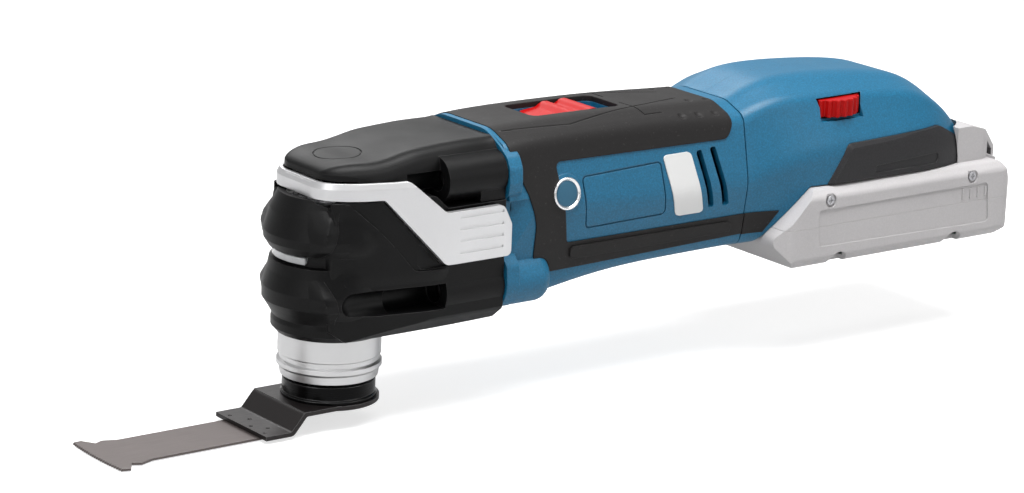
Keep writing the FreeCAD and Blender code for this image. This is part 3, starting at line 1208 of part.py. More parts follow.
# ---------------------------------------------------------------- rear housings
SPIGOT_X = 160.0
CHANNEL_X0 = 195.0
CHANNEL_WALL = 2.4
REAR_SCREWS = [(178.0, 84.0), (178.0, 47.0), (240.0, 84.0), (262.0, 76.0), (186.0, 61.0)]
WHEEL_POCKET = (200.4, 220.6)
SEAM_GROOVE = (0.5, 0.7)
INSERT_SIDE = [(200.7, 56.6), (211.0, 72.6), (259.6, 73.8), (271.4, 68.0), (274.4, 57.0)]
INSERT_RADII = [1.0, 3.0, 8.0, 5.0, 1.0]
INSERT_PROUD = 1.3
INSERT_BEVEL = 2.4
INSERT_MARK = [(224.4, 60.0), (224.4, 62.8), (257.6, 64.2), (257.6, 60.0)]
STRIP_SIDE = [(165.0, 41.6), (165.0, 49.9), (181.4, 49.6), (175.6, 41.6)]
BOARD_X = (177.0, 231.0)
BOARD_Z = (70.6, 72.2)
BOARD_HALF_W = 24.0


def cross_y(half, y0, y1, x, z):
    """The cross recess of a screw that points along Y."""
    thin = half * 0.22
    return [box(x - half, x + half, y0, y1, z - thin, z + thin), box(x - thin, x + thin, y0, y1, z - half, z + half)]


def rear_loft(depth=0.0, x0=None, x1=None):
    return housing_loft(REAR_STATIONS, SECTION_RADII, depth, x0, x1)


def battery_channel(clear):
    """The T-shaped way in the foot that the pack's rails slide along."""
    neck, head = NECK_HALF_W + clear, HEAD_HALF_W + clear
    return [
        box(CHANNEL_X0, 300.0, -neck, neck, FOOT_Z - 1.0, LIP_TOP_Z + 0.1),
        box(CHANNEL_X0, 300.0, -head, head, LIP_TOP_Z - clear / 2, HEAD_TOP_Z + clear / 2),
    ]


def make_rear_inlays():
    """The bevelled dark inserts over the foot, and the strip that carries the grip's line past the seam."""
    skin = layer(REAR_STATIONS, SECTION_RADII, INSERT_PROUD, 1.8).cut(below_foot())
    top = shrunk(INSERT_SIDE, INSERT_BEVEL)
    masks = []
    for side in (-1, 1):
        wires = []
        for y, points in ((24.0, INSERT_SIDE), (33.4, INSERT_SIDE), (33.4 + INSERT_PROUD * 1.5, top)):
            radii = [max(0.6, r - (0.0 if points is INSERT_SIDE else INSERT_BEVEL)) for r in INSERT_RADII]
            wires.append(closed_wire(points, radii, lambda x, z, y=y: V(x, side * y, z)))
        masks.append(Part.makeLoft(wires, True, True))
    insert = skin.common(fuse(masks))
    mark = layer(REAR_STATIONS, SECTION_RADII, INSERT_PROUD + 1.0, 0.4 - INSERT_PROUD)
    insert = insert.cut(mark.common(plate_y(INSERT_MARK, [0.6, 0.6, 2.0, 2.0], -50, 50)))
    save("foot_inserts", insert)
    strip = layer(REAR_STATIONS, SECTION_RADII, PROUD, LAYER).cut(below_foot())
    strip = strip.common(plate_y(STRIP_SIDE, 0, -50, 50))
    strip = strip.common(box(SEAM_X + SEAM_GROOVE[0], 190, -50, 50, 30, 60)).cut(box(160, 190, -20, 20, 30, 60))
    save("rear_grip_strips", strip)
    return [insert, strip]


def make_rear_housings(inlays):
    """Two clamshell halves: electronics bay, dial pocket, and the foot with its battery channel."""
    outer = rear_loft().cut(below_foot())
    room = rear_loft(WALL, SEAM_X - 1.0, REAR_STATIONS[-1][0] - WALL).cut(below_foot(WALL))
    channel_half = HEAD_HALF_W + 2.8
    channel = box(CHANNEL_X0 - CHANNEL_WALL, 290, -channel_half, channel_half, FOOT_Z, HEAD_TOP_Z + 2.6)
    ledges = []
    for y in (-28.0, 28.0):
        ledges.append(box(BOARD_X[0] - 2, BOARD_X[1] + 2, y - 8, y + 8, 68.2, BOARD_Z[0]))
    dial_shelf = box(WHEEL_POCKET[0], WHEEL_POCKET[1], -40, -24.0, 77.0, 79.4)
    bosses = [rod_y(3.8, -40, 40, x, z) for x, z in REAR_SCREWS]
    half = MICRO_HALF_W
    for side in (-1, 1):
        y0, y1 = sorted((side * half, side * (half + 1.6)))
        bosses.append(box(SEAM_X, MICRO_X[1] - 0.5, y0, y1, MICRO_Z[0] + 1.0, 90.0))
    fill = outer.common(fuse([channel, dial_shelf] + ledges + bosses))
    shell = cut(outer, [room])
    spigot = housing_loft(FRONT_STATIONS, SECTION_RADII, WALL + 0.15)
    spigot = spigot.cut(housing_loft(FRONT_STATIONS, SECTION_RADII, WALL + 1.9, x1=SEAM_X + 1.0))
    spigot = spigot.common(box(SPIGOT_X, SEAM_X + 0.01, -50, 50, 0, 120))
    neck = rear_loft(WALL - 0.2).cut(rear_loft(WALL + 1.9, SEAM_X - 1.0)).common(box(SEAM_X, 170.0, -50, 50, 0, 120))
    groove_w, groove_depth = SEAM_GROOVE
    groove = layer(REAR_STATIONS, SECTION_RADII, 1.0, groove_depth)
    whole = fuse([shell, fill, spigot, neck]).cut(groove.common(box(SEAM_X - 1, SEAM_X + groove_w, -50, 50, 0, 120)))
    whole = cut(whole, battery_channel(RAIL_CLEAR) + inlays)
    front, back = WHEEL_POCKET
    wheel_room = [
        rod_z(WHEEL_R + 0.6, WHEEL_Z[0] - 0.6, WHEEL_Z[1] + 0.6, WHEEL_X, WHEEL_Y),
        plate_z([(front, -27.4), (back, -27.4), (back + 3, -40), (front - 3, -40)], 0,
                WHEEL_Z[0] - 1.4, WHEEL_Z[1] + 1.0),
    ]
    left = whole.common(box(150, 300, -60, 0, 0, 120))
    right = whole.common(box(150, 300, 0, 60, 0, 120))
    left_tools = list(wheel_room)
    right_tools = []
    for x, z in REAR_SCREWS:
        left_tools.append(rod_y(1.6, -16.0, 1.0, x, z))
        right_tools.append(rod_y(2.1, -1.0, 60, x, z))
        right_tools.append(rod_y(3.0, 9.0, 60, x, z))
    save("rear_housing_left", cut(left, left_tools))
    save("rear_housing_right", cut(right, right_tools))
    screws = []
    for x, z in REAR_SCREWS:
        head = rod_y(2.8, 9.0, 11.4, x, z)
        screws.append(cut(fuse([head, rod_y(1.6, -13.0, 9.0, x, z)]), cross_y(1.6, 10.4, 12.0, x, z)))
    save("rear_housing_screws", *screws)


# ---------------------------------------------------------------- speed dial and electronics
WHEEL_GRIPS = 22


def make_speed_dial():
    z0, z1 = WHEEL_Z
    wheel = rod_z(WHEEL_R, z0, z1, WHEEL_X, WHEEL_Y)
    grooves = []
    for i in range(WHEEL_GRIPS):
        a = 2 * math.pi * i / WHEEL_GRIPS
        x, y = WHEEL_X + (WHEEL_R + 0.3) * math.cos(a), WHEEL_Y + (WHEEL_R + 0.3) * math.sin(a)
        grooves.append(rod_z(0.8, z0 + 1.2, z1 - 1.2, x, y))
    wheel = cut(wheel, grooves + [rod_z(2.0 + RUN_FIT, z0 - 1, z1 - 1.6, WHEEL_X, WHEEL_Y)])
    save("speed_wheel", wheel)
    board = box(WHEEL_X - 10, WHEEL_X + 10, -26.4, -11.0, 79.4, 80.9)
    post = rod_z(4.0, 80.9, z0 - 0.3, WHEEL_X, WHEEL_Y)
    save("speed_dial_board", fuse([board, post, rod_z(2.0, 80.9, z1 - 2.0, WHEEL_X, WHEEL_Y)]))


def make_electronics():
    """Control board on its ledges, with the power parts that stand on it, and the battery contacts."""
    z0, z1 = BOARD_Z
    save("control_board", box(BOARD_X[0], BOARD_X[1], -BOARD_HALF_W, BOARD_HALF_W, z0, z1))
    fins = [box(186.0, 204.0, -19.0 + 4.0 * i, -17.8 + 4.0 * i, z1 + 2.0, z1 + 6.4) for i in range(10)]
    base = box(186.0, 204.0, -19.0, 18.2, z1, z1 + 2.0)
    save("heat_sink", fuse([base] + fins))
    cans = [rod_z(4.4, z1, z1 + 13.0, 226.0, y) for y in (-4.0, 6.0)]
    save("capacitors", *cans)
    block = box(CHANNEL_X0 + 1.6, 211.0, -HEAD_HALF_W + 1.0, HEAD_HALF_W - 1.0, LIP_TOP_Z, HEAD_TOP_Z)
    root = box(CHANNEL_X0, CHANNEL_X0 + 4, -8, 8, LIP_TOP_Z - 0.1, HEAD_TOP_Z + 0.1)
    save("terminal_block", fuse([block, root]))
    blades = [box(211.0, 226.0, y - 0.4, y + 0.4, LIP_TOP_Z + 0.4, HEAD_TOP_Z - 0.6) for y in CONTACT_Y]
    save("terminal_blades", *blades)


# ---------------------------------------------------------------- battery pack
PACK_SIDE = [
    (185.0, PACK_BOTTOM_Z), (174.8, 38.4), (193.8, FOOT_Z - PACK_GAP), (290.0, FOOT_Z - PACK_GAP), (296.5, 43.6),
    (296.5, 33.6), (288.4, PACK_BOTTOM_Z),
]
PACK_SIDE_RADII = [3.0, 4.0, 3.0, 4.0, 5.0, 5.0, 4.0]
HUMP_SIDE = [(270.0, 55.0), (296.4, 55.0), (296.4, 60.0), (285.0, 69.4), (277.4, 71.4), (270.0, 71.4)]
HUMP_HALF_W = 31.0
BUTTON_X = (289.5, 298.0)
BUTTON_Z = (56.6, 65.6)
NOTCHES = [(206.5, PACK_BOTTOM_Z), (265.6, PACK_BOTTOM_Z)]
PACK_PANEL = [(194.6, 49.4), (281.5, 49.8), (283.0, 34.0), (195.6, 35.4)]
PACK_RIBS = [268.8, 272.8, 276.8, 280.8]
PACK_SCREWS = [(200.4, 52.8), (273.4, 53.2)]
PACK_SCREW_R = 1.1
PACK_SEAT = (2.7, 1.0)


def pack_block(depth):
    """The pack's outer form, moved inwards by depth, with its long vertical edges bevelled."""
    half = PACK_HALF_W - depth
    centre_x, centre_z = 236.0, 42.8
    side = []
    for x, z in PACK_SIDE:
        sx = 1.0 - depth / 58.0
        sz = 1.0 - depth / 15.2
        side.append((centre_x + (x - centre_x) * sx, centre_z + (z - centre_z) * sz))
    body = plate_y(side, [max(0.8, r - depth) for r in PACK_SIDE_RADII], -half, half)
    chamfer = 3.2 - depth * 0.6
    z0, z1 = PACK_BOTTOM_Z + depth, FOOT_Z - PACK_GAP - depth
    section_points = [
        (half - chamfer, z0), (half, z0 + chamfer), (half, z1 - chamfer), (half - chamfer, z1),
    ]
    outline = section_points + [(-y, z) for y, z in reversed(section_points)]
    across = plate_x(outline, [3.0] * 8, 170.0, 300.0)
    plan = [(170.0 + depth, half - 9.0), (182.0 + depth, half), (292.6 - depth, half), (300.0 - depth, half - 8.0)]
    plan = plan + [(x, -y) for x, y in reversed(plan)]
    above = plate_z(plan, [6.0, 6.0, 6.0, 6.0] * 2, 0.0, 100.0)
    return body.common(across).common(above)


PANEL_DEPTH = 0.5


def pack_ribs():
    """The short upright ribs at the rear of each side panel."""
    ribs = []
    for side in (-1, 1):
        y0, y1 = sorted((side * (PACK_HALF_W - PANEL_DEPTH - 0.5), side * PACK_HALF_W))
        for x in PACK_RIBS:
            ribs.append(plate_y([(x - 0.4, 44.4), (x + 0.4, 44.4), (x + 0.4, 48.6), (x - 0.4, 48.6)], 0.3, y0, y1))
    return ribs


def make_battery_case():
    outer = pack_block(0.0)
    for side in (-1, 1):
        y0, y1 = sorted((side * (PACK_HALF_W - PANEL_DEPTH), side * 50.0))
        outer = outer.cut(plate_y(PACK_PANEL, 1.6, y0, y1))
    room = pack_block(PACK_WALL)
    shell = outer.cut(room)
    lower_mask = box(160, 310, -60, 60, 0, PACK_SPLIT_Z)
    upper_mask = box(160, 310, -60, 60, PACK_SPLIT_Z, 100)
    side_notches = []
    for x, z in NOTCHES:
        for side in (-1, 1):
            y0, y1 = sorted((side * (PACK_HALF_W - 6.0), side * 50.0))
            side_notches.append(rod_y(4.6, y0, y1, x, z))
    save("battery_lower_case", cut(shell.common(lower_mask), side_notches))
    hump = plate_y(HUMP_SIDE, [0, 2.0, 3.0, 5.0, 3.0, 0], -HUMP_HALF_W, HUMP_HALF_W)
    hump = hump.common(plate_z([
        (260, -HUMP_HALF_W), (284, -HUMP_HALF_W), (300, -22), (300, 22), (284, HUMP_HALF_W), (260, HUMP_HALF_W),
    ], [0, 8.0, 0, 0, 8.0, 0], 50, 80))
    hump_room = plate_y([(268, 50.0), (293.6, 50.0), (293.6, 59.4), (284.0, 67.0), (276.6, 68.8), (268, 68.8)], 0,
                        -HUMP_HALF_W + 2.4, HUMP_HALF_W - 2.4)
    clear = INSERT_PROUD + 0.4
    neighbour = rear_loft(-clear, x1=REAR_STATIONS[-1][0] + clear)
    rails = [
        box(RAIL_X0, 288.0, -NECK_HALF_W, NECK_HALF_W, FOOT_Z - 2.0, LIP_TOP_Z + 1.0),
        box(RAIL_X0, 288.0, -HEAD_HALF_W, HEAD_HALF_W, LIP_TOP_Z + 0.2, HEAD_TOP_Z),
    ]
    hump = cut(hump, [neighbour])
    upper = fuse([shell.common(upper_mask), hump])
    upper = upper.cut(hump_room.cut(rear_loft(-clear - 1.4, x1=REAR_STATIONS[-1][0] + clear + 1.8)))
    upper = fuse([upper] + rails)
    slots = []
    for y in CONTACT_Y:
        slots.append(box(RAIL_X0 - 1, 229.0, y - 1.0, y + 1.0, LIP_TOP_Z + 0.1, HEAD_TOP_Z - 0.4 + 1.0))
    button_room = box(BUTTON_X[0] - 4.6, BUTTON_X[1] + 2, -12.3, 12.3, BUTTON_Z[0] - 0.2, BUTTON_Z[1] + 0.2)
    seats = []
    seat_r, seat_depth = PACK_SEAT
    for side in (-1, 1):
        for x, z in PACK_SCREWS:
            y0, y1 = sorted((side * (PACK_HALF_W - seat_depth), side * 50.0))
            seats.append(rod_y(seat_r, y0, y1, x, z))
            y0, y1 = sorted((side * 30.0, side * 50.0))
            seats.append(rod_y(PACK_SCREW_R + 0.1, y0, y1, x, z))
    ribs = pack_ribs()
    save("battery_upper_case", cut(fuse([upper] + ribs), slots + [button_room] + seats))


def make_battery_inside():
    """Five cells across the pack in two end holders, linked in a row, and the contact springs."""
    places = [CELL_FIRST_X + i * CELL_PITCH for i in range(CELLS)]
    half = CELL_LEN / 2
    cells = []
    for x in places:
        can = rod_y(CELL_R - 0.1, -half, half, x, CELL_Z)
        bead = rod_y(CELL_R + 1, half - 4.0, half - 3.2, x, CELL_Z)
        cells.append(can.cut(bead.cut(rod_y(CELL_R - 0.7, half - 5, half - 2, x, CELL_Z))))
    save("battery_cells", *cells)
    x0, x1 = places[0] - CELL_R - 1.4, places[-1] + CELL_R + 1.4
    holders = []
    for side in (-1, 1):
        y0, y1 = sorted((side * 24.0, side * 27.0))
        outline = [
            (x0, 35.0), (x0, 44.5), (x0 + 9.6, 53.0), (x1 - 4.0, 53.0), (x1, 48.0), (x1, 33.8), (x1 - 5.8, 29.6),
            (x0 + 4.0, 29.6),
        ]
        bosses = [rod_y(PACK_SCREW_R + 1.0, y0, y1, x, z) for x, z in PACK_SCREWS]
        bores = [rod_y(PACK_SCREW_R, y0 - 1, y1 + 1, x, z) for x, z in PACK_SCREWS]
        plate = fuse([plate_y(outline, 0, y0, y1)] + bosses)
        seats = [rod_y(CELL_R, y0 - 1, y1 + 1, x, CELL_Z) for x in places]
        open_row = box(places[0], places[-1], y0 - 1, y1 + 1, CELL_Z - 3.0, CELL_Z + 3.0)
        holders.append(cut(plate, seats + bores + [open_row]))
    save("cell_holders", *holders)
    screws = []
    seat_y = PACK_HALF_W - PACK_SEAT[1]
    for side in (-1, 1):
        for x, z in PACK_SCREWS:
            y0, y1 = sorted((side * 24.4, side * seat_y))
            shank = rod_y(PACK_SCREW_R, y0, y1, x, z)
            y0, y1 = sorted((side * seat_y, side * (seat_y + 0.8)))
            head = rod_y(1.8, y0, y1, x, z)
            y0, y1 = sorted((side * (seat_y + 0.3), side * 40.0))
            screws.append(cut(fuse([shank, head]), cross_y(1.1, y0, y1, x, z)))
    save("battery_screws", *screws)
    links = []
    for side in (-1, 1):
        y0, y1 = sorted((side * half, side * (half + 0.25)))
        first = 0 if side > 0 else 1
        for i in range(first, CELLS - 1, 2):
            links.append(plate_y([
                (places[i] - 5.0, CELL_Z - 4.0), (places[i + 1] + 5.0, CELL_Z - 4.0),
                (places[i + 1] + 5.0, CELL_Z + 4.0), (places[i] - 5.0, CELL_Z + 4.0),
            ], 2.0, y0, y1))
    save("cell_links", *links)
    springs = []
    for y in CONTACT_Y:
        for side in (-1, 1):
            y0, y1 = sorted((y + side * 0.45, y + side * 0.95))
            springs.append(box(RAIL_X0 + 5.0, RAIL_X0 + 16.0, y0, y1, LIP_TOP_Z + 0.3, HEAD_TOP_Z - 0.5))
    save("battery_contacts", *springs)


def make_battery_button():
    """The push button in the rear of the pack's hump that frees its latch."""
    x0, x1 = BUTTON_X
    z0, z1 = BUTTON_Z
    side = [(x0, z0), (x1 - 0.8, z0), (x1, z0 + 3.0), (x1 - 5.2, z1), (x0, z1)]
    body = plate_y(side, [0, 1.0, 1.6, 1.6, 0], -12.0, 12.0)
    ribs = []
    for i in range(3):
        x = x1 - 1.5 - 1.6 * i
        z = z0 + 4.4 + 1.85 * i
        ribs.append(rod_y(0.5, -9.0, 9.0, x, z))
    save("battery_release_button", fuse([body] + ribs))


make_rear_housings(make_rear_inlays())
make_speed_dial()
make_electronics()
make_battery_case()
make_battery_inside()
make_battery_button()
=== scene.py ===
# %% [markdown]
# # The oscillating multi tool, from its frame to its finish
#
# The engineering model gives every rigid part its shape and place. This file dresses it: each part gets
# the surface it has on the workbench, a few pieces are made here because they are easier to make as meshes,
# and a plain studio is put round it. Nothing from the engineering model is moved or reshaped.

# %% Load the fixed frame
import math

import bmesh
import bpy
from mathutils import Matrix, Vector
from mathutils.bvhtree import BVHTree


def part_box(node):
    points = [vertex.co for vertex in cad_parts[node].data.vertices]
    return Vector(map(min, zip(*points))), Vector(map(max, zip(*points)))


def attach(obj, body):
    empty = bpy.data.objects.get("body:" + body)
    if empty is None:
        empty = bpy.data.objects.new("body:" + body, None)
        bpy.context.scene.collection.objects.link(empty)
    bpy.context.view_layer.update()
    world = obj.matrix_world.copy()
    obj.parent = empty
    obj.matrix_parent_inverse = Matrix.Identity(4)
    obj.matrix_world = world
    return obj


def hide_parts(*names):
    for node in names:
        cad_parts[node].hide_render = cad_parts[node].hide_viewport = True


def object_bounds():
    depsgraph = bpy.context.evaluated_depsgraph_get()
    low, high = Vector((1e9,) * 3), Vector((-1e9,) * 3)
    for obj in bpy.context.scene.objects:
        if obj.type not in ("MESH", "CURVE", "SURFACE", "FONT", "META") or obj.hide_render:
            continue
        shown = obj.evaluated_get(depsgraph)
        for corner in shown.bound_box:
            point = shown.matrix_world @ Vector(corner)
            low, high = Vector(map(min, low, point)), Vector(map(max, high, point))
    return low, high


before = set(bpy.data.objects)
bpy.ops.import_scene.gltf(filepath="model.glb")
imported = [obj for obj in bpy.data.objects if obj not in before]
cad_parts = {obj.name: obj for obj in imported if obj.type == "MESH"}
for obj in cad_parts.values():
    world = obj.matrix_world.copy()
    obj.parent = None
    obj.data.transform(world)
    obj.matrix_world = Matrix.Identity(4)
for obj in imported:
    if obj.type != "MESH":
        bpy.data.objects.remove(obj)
MM = 0.001


frame_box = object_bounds()
centre = (Vector(frame_box[0]) + Vector(frame_box[1])) / 2

# %% [markdown]
# ## The camera
#
# A long lens from far away keeps a hand tool's lines nearly parallel. The place is given as a direction
# from the tool: an azimuth, counted from straight in front of the tool's left side, an elevation and a
# little roll. Any other view then needs no more than another direction.

# %% Aim a long lens at the tool
CAMERA_AZIMUTH = math.radians(-37.16)
CAMERA_ELEVATION = math.radians(15.27)
CAMERA_ROLL = math.radians(2.05)
CAMERA_DISTANCE = 1.26418
CAMERA_LENS = 125.57
AIM = Vector((0.05885, -0.0269, 0.05165))


def link_object(name, data):
    """A new object in the scene, made of a mesh, a lamp or a camera."""
    made = bpy.data.objects.new(name, data)
    bpy.context.scene.collection.objects.link(made)
    return made


def direction_to(azimuth, elevation):
    """The unit vector from the tool to a place in the studio."""
    return Vector((
        math.sin(azimuth) * math.cos(elevation),
        -math.cos(azimuth) * math.cos(elevation),
        math.sin(elevation),
    ))


lens = bpy.data.cameras.new("studio_camera")
lens.lens = CAMERA_LENS
lens.sensor_width = 36.0
lens.clip_start = 0.05
lens.clip_end = 20.0
camera = link_object("studio_camera", lens)
back = direction_to(CAMERA_AZIMUTH, CAMERA_ELEVATION)
turn = back.to_track_quat("Z", "Y").to_matrix()
roll = math.cos(CAMERA_ROLL), math.sin(CAMERA_ROLL)
right = turn.col[0] * roll[0] + turn.col[1] * roll[1]
upward = turn.col[1] * roll[0] - turn.col[0] * roll[1]
camera.matrix_world = Matrix((
    (right.x, upward.x, back.x, AIM.x + back.x * CAMERA_DISTANCE),
    (right.y, upward.y, back.y, AIM.y + back.y * CAMERA_DISTANCE),
    (right.z, upward.z, back.z, AIM.z + back.z * CAMERA_DISTANCE),
    (0.0, 0.0, 0.0, 1.0),
))
bpy.context.scene.camera = camera
print("camera at", [round(number, 4) for number in camera.matrix_world.translation])

# %% [markdown]
# ## A few words for writing materials
#
# A material is a small network of nodes. A few helpers keep the networks short: one adds a node and fills
# its sockets, one starts a surface that reads the part's own coordinates, and the others name the steps
# that come back in every material. Reading the part's own coordinates means that a grain has a real size
# in millimetres and stays where it is when the part moves.

# %% The material helpers
def fill(tree, socket, value):
    """Links a socket to another, or gives it a fixed value."""
    if isinstance(value, bpy.types.NodeSocket):
        tree.links.new(value, socket)
    else:
        socket.default_value = value


def add_node(tree, kind, sockets=None, **settings):
    """A new node with its settings made and its sockets filled, by name or by number."""
    made = tree.nodes.new(kind)
    for name, value in settings.items():
        setattr(made, name, value)
    for name, value in (sockets or {}).items():
        fill(tree, made.inputs[name], value)
    return made


def start_surface(name, sockets):
    """A material with one principled surface, and the coordinates of the part it is on."""
    made = bpy.data.materials.new(name)
    made.use_nodes = True
    tree = made.node_tree
    tree.nodes.clear()
    surface = add_node(tree, "ShaderNodeBsdfPrincipled", sockets)
    output = add_node(tree, "ShaderNodeOutputMaterial")
    tree.links.new(surface.outputs[0], output.inputs["Surface"])
    place = add_node(tree, "ShaderNodeTexCoord").outputs["Object"]
    return made, tree, surface, place


def stretched(tree, place, scale):
    """The coordinates, scaled along each axis: a large number makes a pattern fine that way."""
    return add_node(tree, "ShaderNodeMapping", {"Vector": place, "Scale": scale}).outputs[0]


def noise(tree, place, scale, detail, roughness=0.5):
    """A soft random value from 0 to 1, whose patches are about one over the scale across."""
    sockets = {"Vector": place, "Scale": scale, "Detail": detail, "Roughness": roughness}
    return add_node(tree, "ShaderNodeTexNoise", sockets).outputs[0]


def spread(tree, value, low, high, start=0.0, end=1.0):
    """The value between low and high, drawn out to run from start to end."""
    sockets = {"Value": value, "From Min": low, "From Max": high, "To Min": start, "To Max": end}
    return add_node(tree, "ShaderNodeMapRange", sockets).outputs[0]


def mixed(tree, share, first, second):
    """One colour turning into another as the share goes from 0 to 1."""
    made = add_node(tree, "ShaderNodeMix", data_type="RGBA")
    fill(tree, made.inputs[0], share)
    fill(tree, made.inputs[6], first)
    fill(tree, made.inputs[7], second)
    return made.outputs[2]


def math_node(tree, operation, first, second=0.0):
    """One step of arithmetic in a node tree."""
    return add_node(tree, "ShaderNodeMath", {0: first, 1: second}, operation=operation).outputs[0]


def multiplied(tree, first, second):
    """Two values multiplied."""
    return math_node(tree, "MULTIPLY", first, second)


def tone_of(tree, colour, factor):
    """A colour that comes from a socket, made lighter or darker."""
    made = add_node(tree, "ShaderNodeVectorMath", {0: colour, "Scale": factor}, operation="SCALE")
    return made.outputs[0]


def tone(colour, factor):
    """A colour made lighter or darker, with full opacity."""
    return tuple(min(part * factor, 1.0) for part in colour[:3]) + (1.0,)


def rounded_edges(tree, radius):
    """The normal with its edges rounded over, and a value that rises towards 1 on those edges."""
    rounded = add_node(tree, "ShaderNodeBevel", {"Radius": radius}, samples=4).outputs[0]
    flat = add_node(tree, "ShaderNodeNewGeometry").outputs["Normal"]
    sockets = {0: rounded, 1: flat}
    same = add_node(tree, "ShaderNodeVectorMath", sockets, operation="DOT_PRODUCT").outputs["Value"]
    return rounded, spread(tree, same, 0.995, 0.90)


def dented(tree, height, depth, normal):
    """The normal, tilted as a surface with these heights would tilt it."""
    sockets = {"Strength": 1.0, "Distance": depth, "Height": height, "Normal": normal}
    return add_node(tree, "ShaderNodeBump", sockets).outputs[0]


# %% [markdown]
# ## Moulded plastic
#
# The housing halves, the head covers and the battery case are moulded in steel tools whose walls are
# spark eroded, so the plastic comes out with a fine, even grain. Three things make it look real: grain
# of about half a millimetre in the height, slow cloudy changes in the gloss, and edges that catch light
# because no moulded edge is sharp. The edges are also painted a little paler, partly as rubbing by hands
# and benches and partly as a painted highlight along them.

# %% A maker for moulded plastics
def moulded(name, colour, roughness, grain=0.55, depth=0.012, edge_rub_and_highlight=0.25, shine=0.4, speckle=0.6):
    """Plastic with a spark eroded grain; its size and depth are in millimetres."""
    made, tree, surface, place = start_surface(name, {"Specular IOR Level": shine})
    normal, edge_wear_and_highlight = rounded_edges(tree, 0.45 * MM)
    grains = noise(tree, place, 1.0 / (grain * MM), 3.0, 0.6)
    clouds = noise(tree, place, 28.0, 3.0, 0.55)
    scuffs = noise(tree, stretched(tree, place, (40.0, 40.0, 420.0)), 1.0, 4.0, 0.7)
    body = mixed(tree, clouds, tone(colour, 0.93), tone(colour, 1.07))
    specks = spread(tree, grains, 0.40, 0.70, 0.0, speckle)
    speckled = mixed(tree, specks, tone_of(tree, body, 0.86), tone(colour, 1.55))
    # Painted highlight and wear: the edges, broken up by streaks, are painted paler, partly as rubbing and
    # partly as a highlight along them.
    broken = multiplied(tree, edge_wear_and_highlight, spread(tree, scuffs, 0.35, 0.62))
    paler = mixed(tree, 0.5, tone(colour, 1.5), (0.35, 0.35, 0.35, 1.0))
    edges_rubbed_and_lit = mixed(tree, multiplied(tree, broken, edge_rub_and_highlight), speckled, paler)
    fill(tree, surface.inputs["Base Color"], edges_rubbed_and_lit)
    gloss = spread(tree, clouds, 0.3, 0.7, roughness - 0.05, roughness + 0.06)
    fill(tree, surface.inputs["Roughness"], gloss)
    fill(tree, surface.inputs["Normal"], dented(tree, grains, depth * MM, normal))
    return made


finishes = {
    "blue_plastic": moulded("blue_plastic", (0.005, 0.106, 0.203), 0.42, grain=0.6, depth=0.020),
    "black_plastic": moulded("black_plastic", (0.0025, 0.0025, 0.0027), 0.42, grain=0.6, depth=0.04,
                             shine=0.17),
    "insert_plastic": moulded("insert_plastic", (0.017, 0.0165, 0.018), 0.5, grain=0.6, depth=0.03,
                              shine=0.25),
    "dark_grey_plastic": moulded("dark_grey_plastic", (0.05, 0.05, 0.052), 0.5),
    "grey_plastic": moulded("grey_plastic", (0.49, 0.475, 0.48), 0.5, edge_rub_and_highlight=0.1, speckle=0.10),
    "white_plastic": moulded("white_plastic", (0.80, 0.80, 0.79), 0.4, depth=0.004, edge_rub_and_highlight=0.05, speckle=0.04),
    "red_plastic": moulded("red_plastic", (0.40, 0.003, 0.003), 0.4, depth=0.004, edge_rub_and_highlight=0.05, shine=0.14,
                           speckle=0.2),
}
print("moulded plastics:", ", ".join(finishes))

# %% [markdown]
# ## Soft grip rubber
#
# The grip is a thermoplastic rubber moulded over the housing. It is duller than the hard plastic, it
# takes dust as paler specks, and its grain is coarser and rounder. Voronoi cells give that pebbled
# skin: the distance to the nearest cell centre is the height.

# %% A maker for soft rubber
def rubbery(name, colour, roughness, pebble=0.7, depth=0.03):
    """Soft overmoulding with a pebbled skin."""
    sockets = {"Specular IOR Level": 0.22, "Sheen Weight": 0.01, "Sheen Roughness": 0.4}
    made, tree, surface, place = start_surface(name, sockets)
    normal, edge_wear_and_highlight = rounded_edges(tree, 0.7 * MM)
    cells = {"Vector": place, "Scale": 1.0 / (pebble * MM)}
    pebbles = add_node(tree, "ShaderNodeTexVoronoi", cells, feature="SMOOTH_F1").outputs["Distance"]
    clouds = noise(tree, place, 35.0, 4.0, 0.6)
    dust = noise(tree, place, 900.0, 3.0, 0.7)
    body = mixed(tree, clouds, tone(colour, 0.9), tone(colour, 1.12))
    dusty = mixed(tree, spread(tree, dust, 0.62, 0.8, 0.0, 0.25), body, (0.16, 0.155, 0.15, 1.0))
    # Painted highlight and wear: the edges are painted much paler, partly as rubbing and partly as a highlight
    # along them.
    edges_rubbed_and_lit = mixed(tree, multiplied(tree, edge_wear_and_highlight, 0.35), dusty, tone(colour, 1.9))
    fill(tree, surface.inputs["Base Color"], edges_rubbed_and_lit)
    gloss = spread(tree, clouds, 0.3, 0.7, roughness - 0.05, roughness + 0.07)
    fill(tree, surface.inputs["Roughness"], gloss)
    fill(tree, surface.inputs["Normal"], dented(tree, pebbles, depth * MM, normal))
    return made


finishes["soft_grip"] = rubbery("soft_grip", (0.0105, 0.0096, 0.0096), 0.56)
print("rubbers: soft_grip")

# %% [markdown]
# ## Metals
#
# Each metal is told apart by its marks. Turned parts carry fine rings round their axis, rolled and ground
# strip carries straight lines, cast parts a soft orange peel, and sintered parts a sandy skin. One
# maker draws them all: the marks are noise that is squeezed across the lines and stretched along them.
# The numbers are the lines for each millimetre along x, y and z, and then how deep a line is.

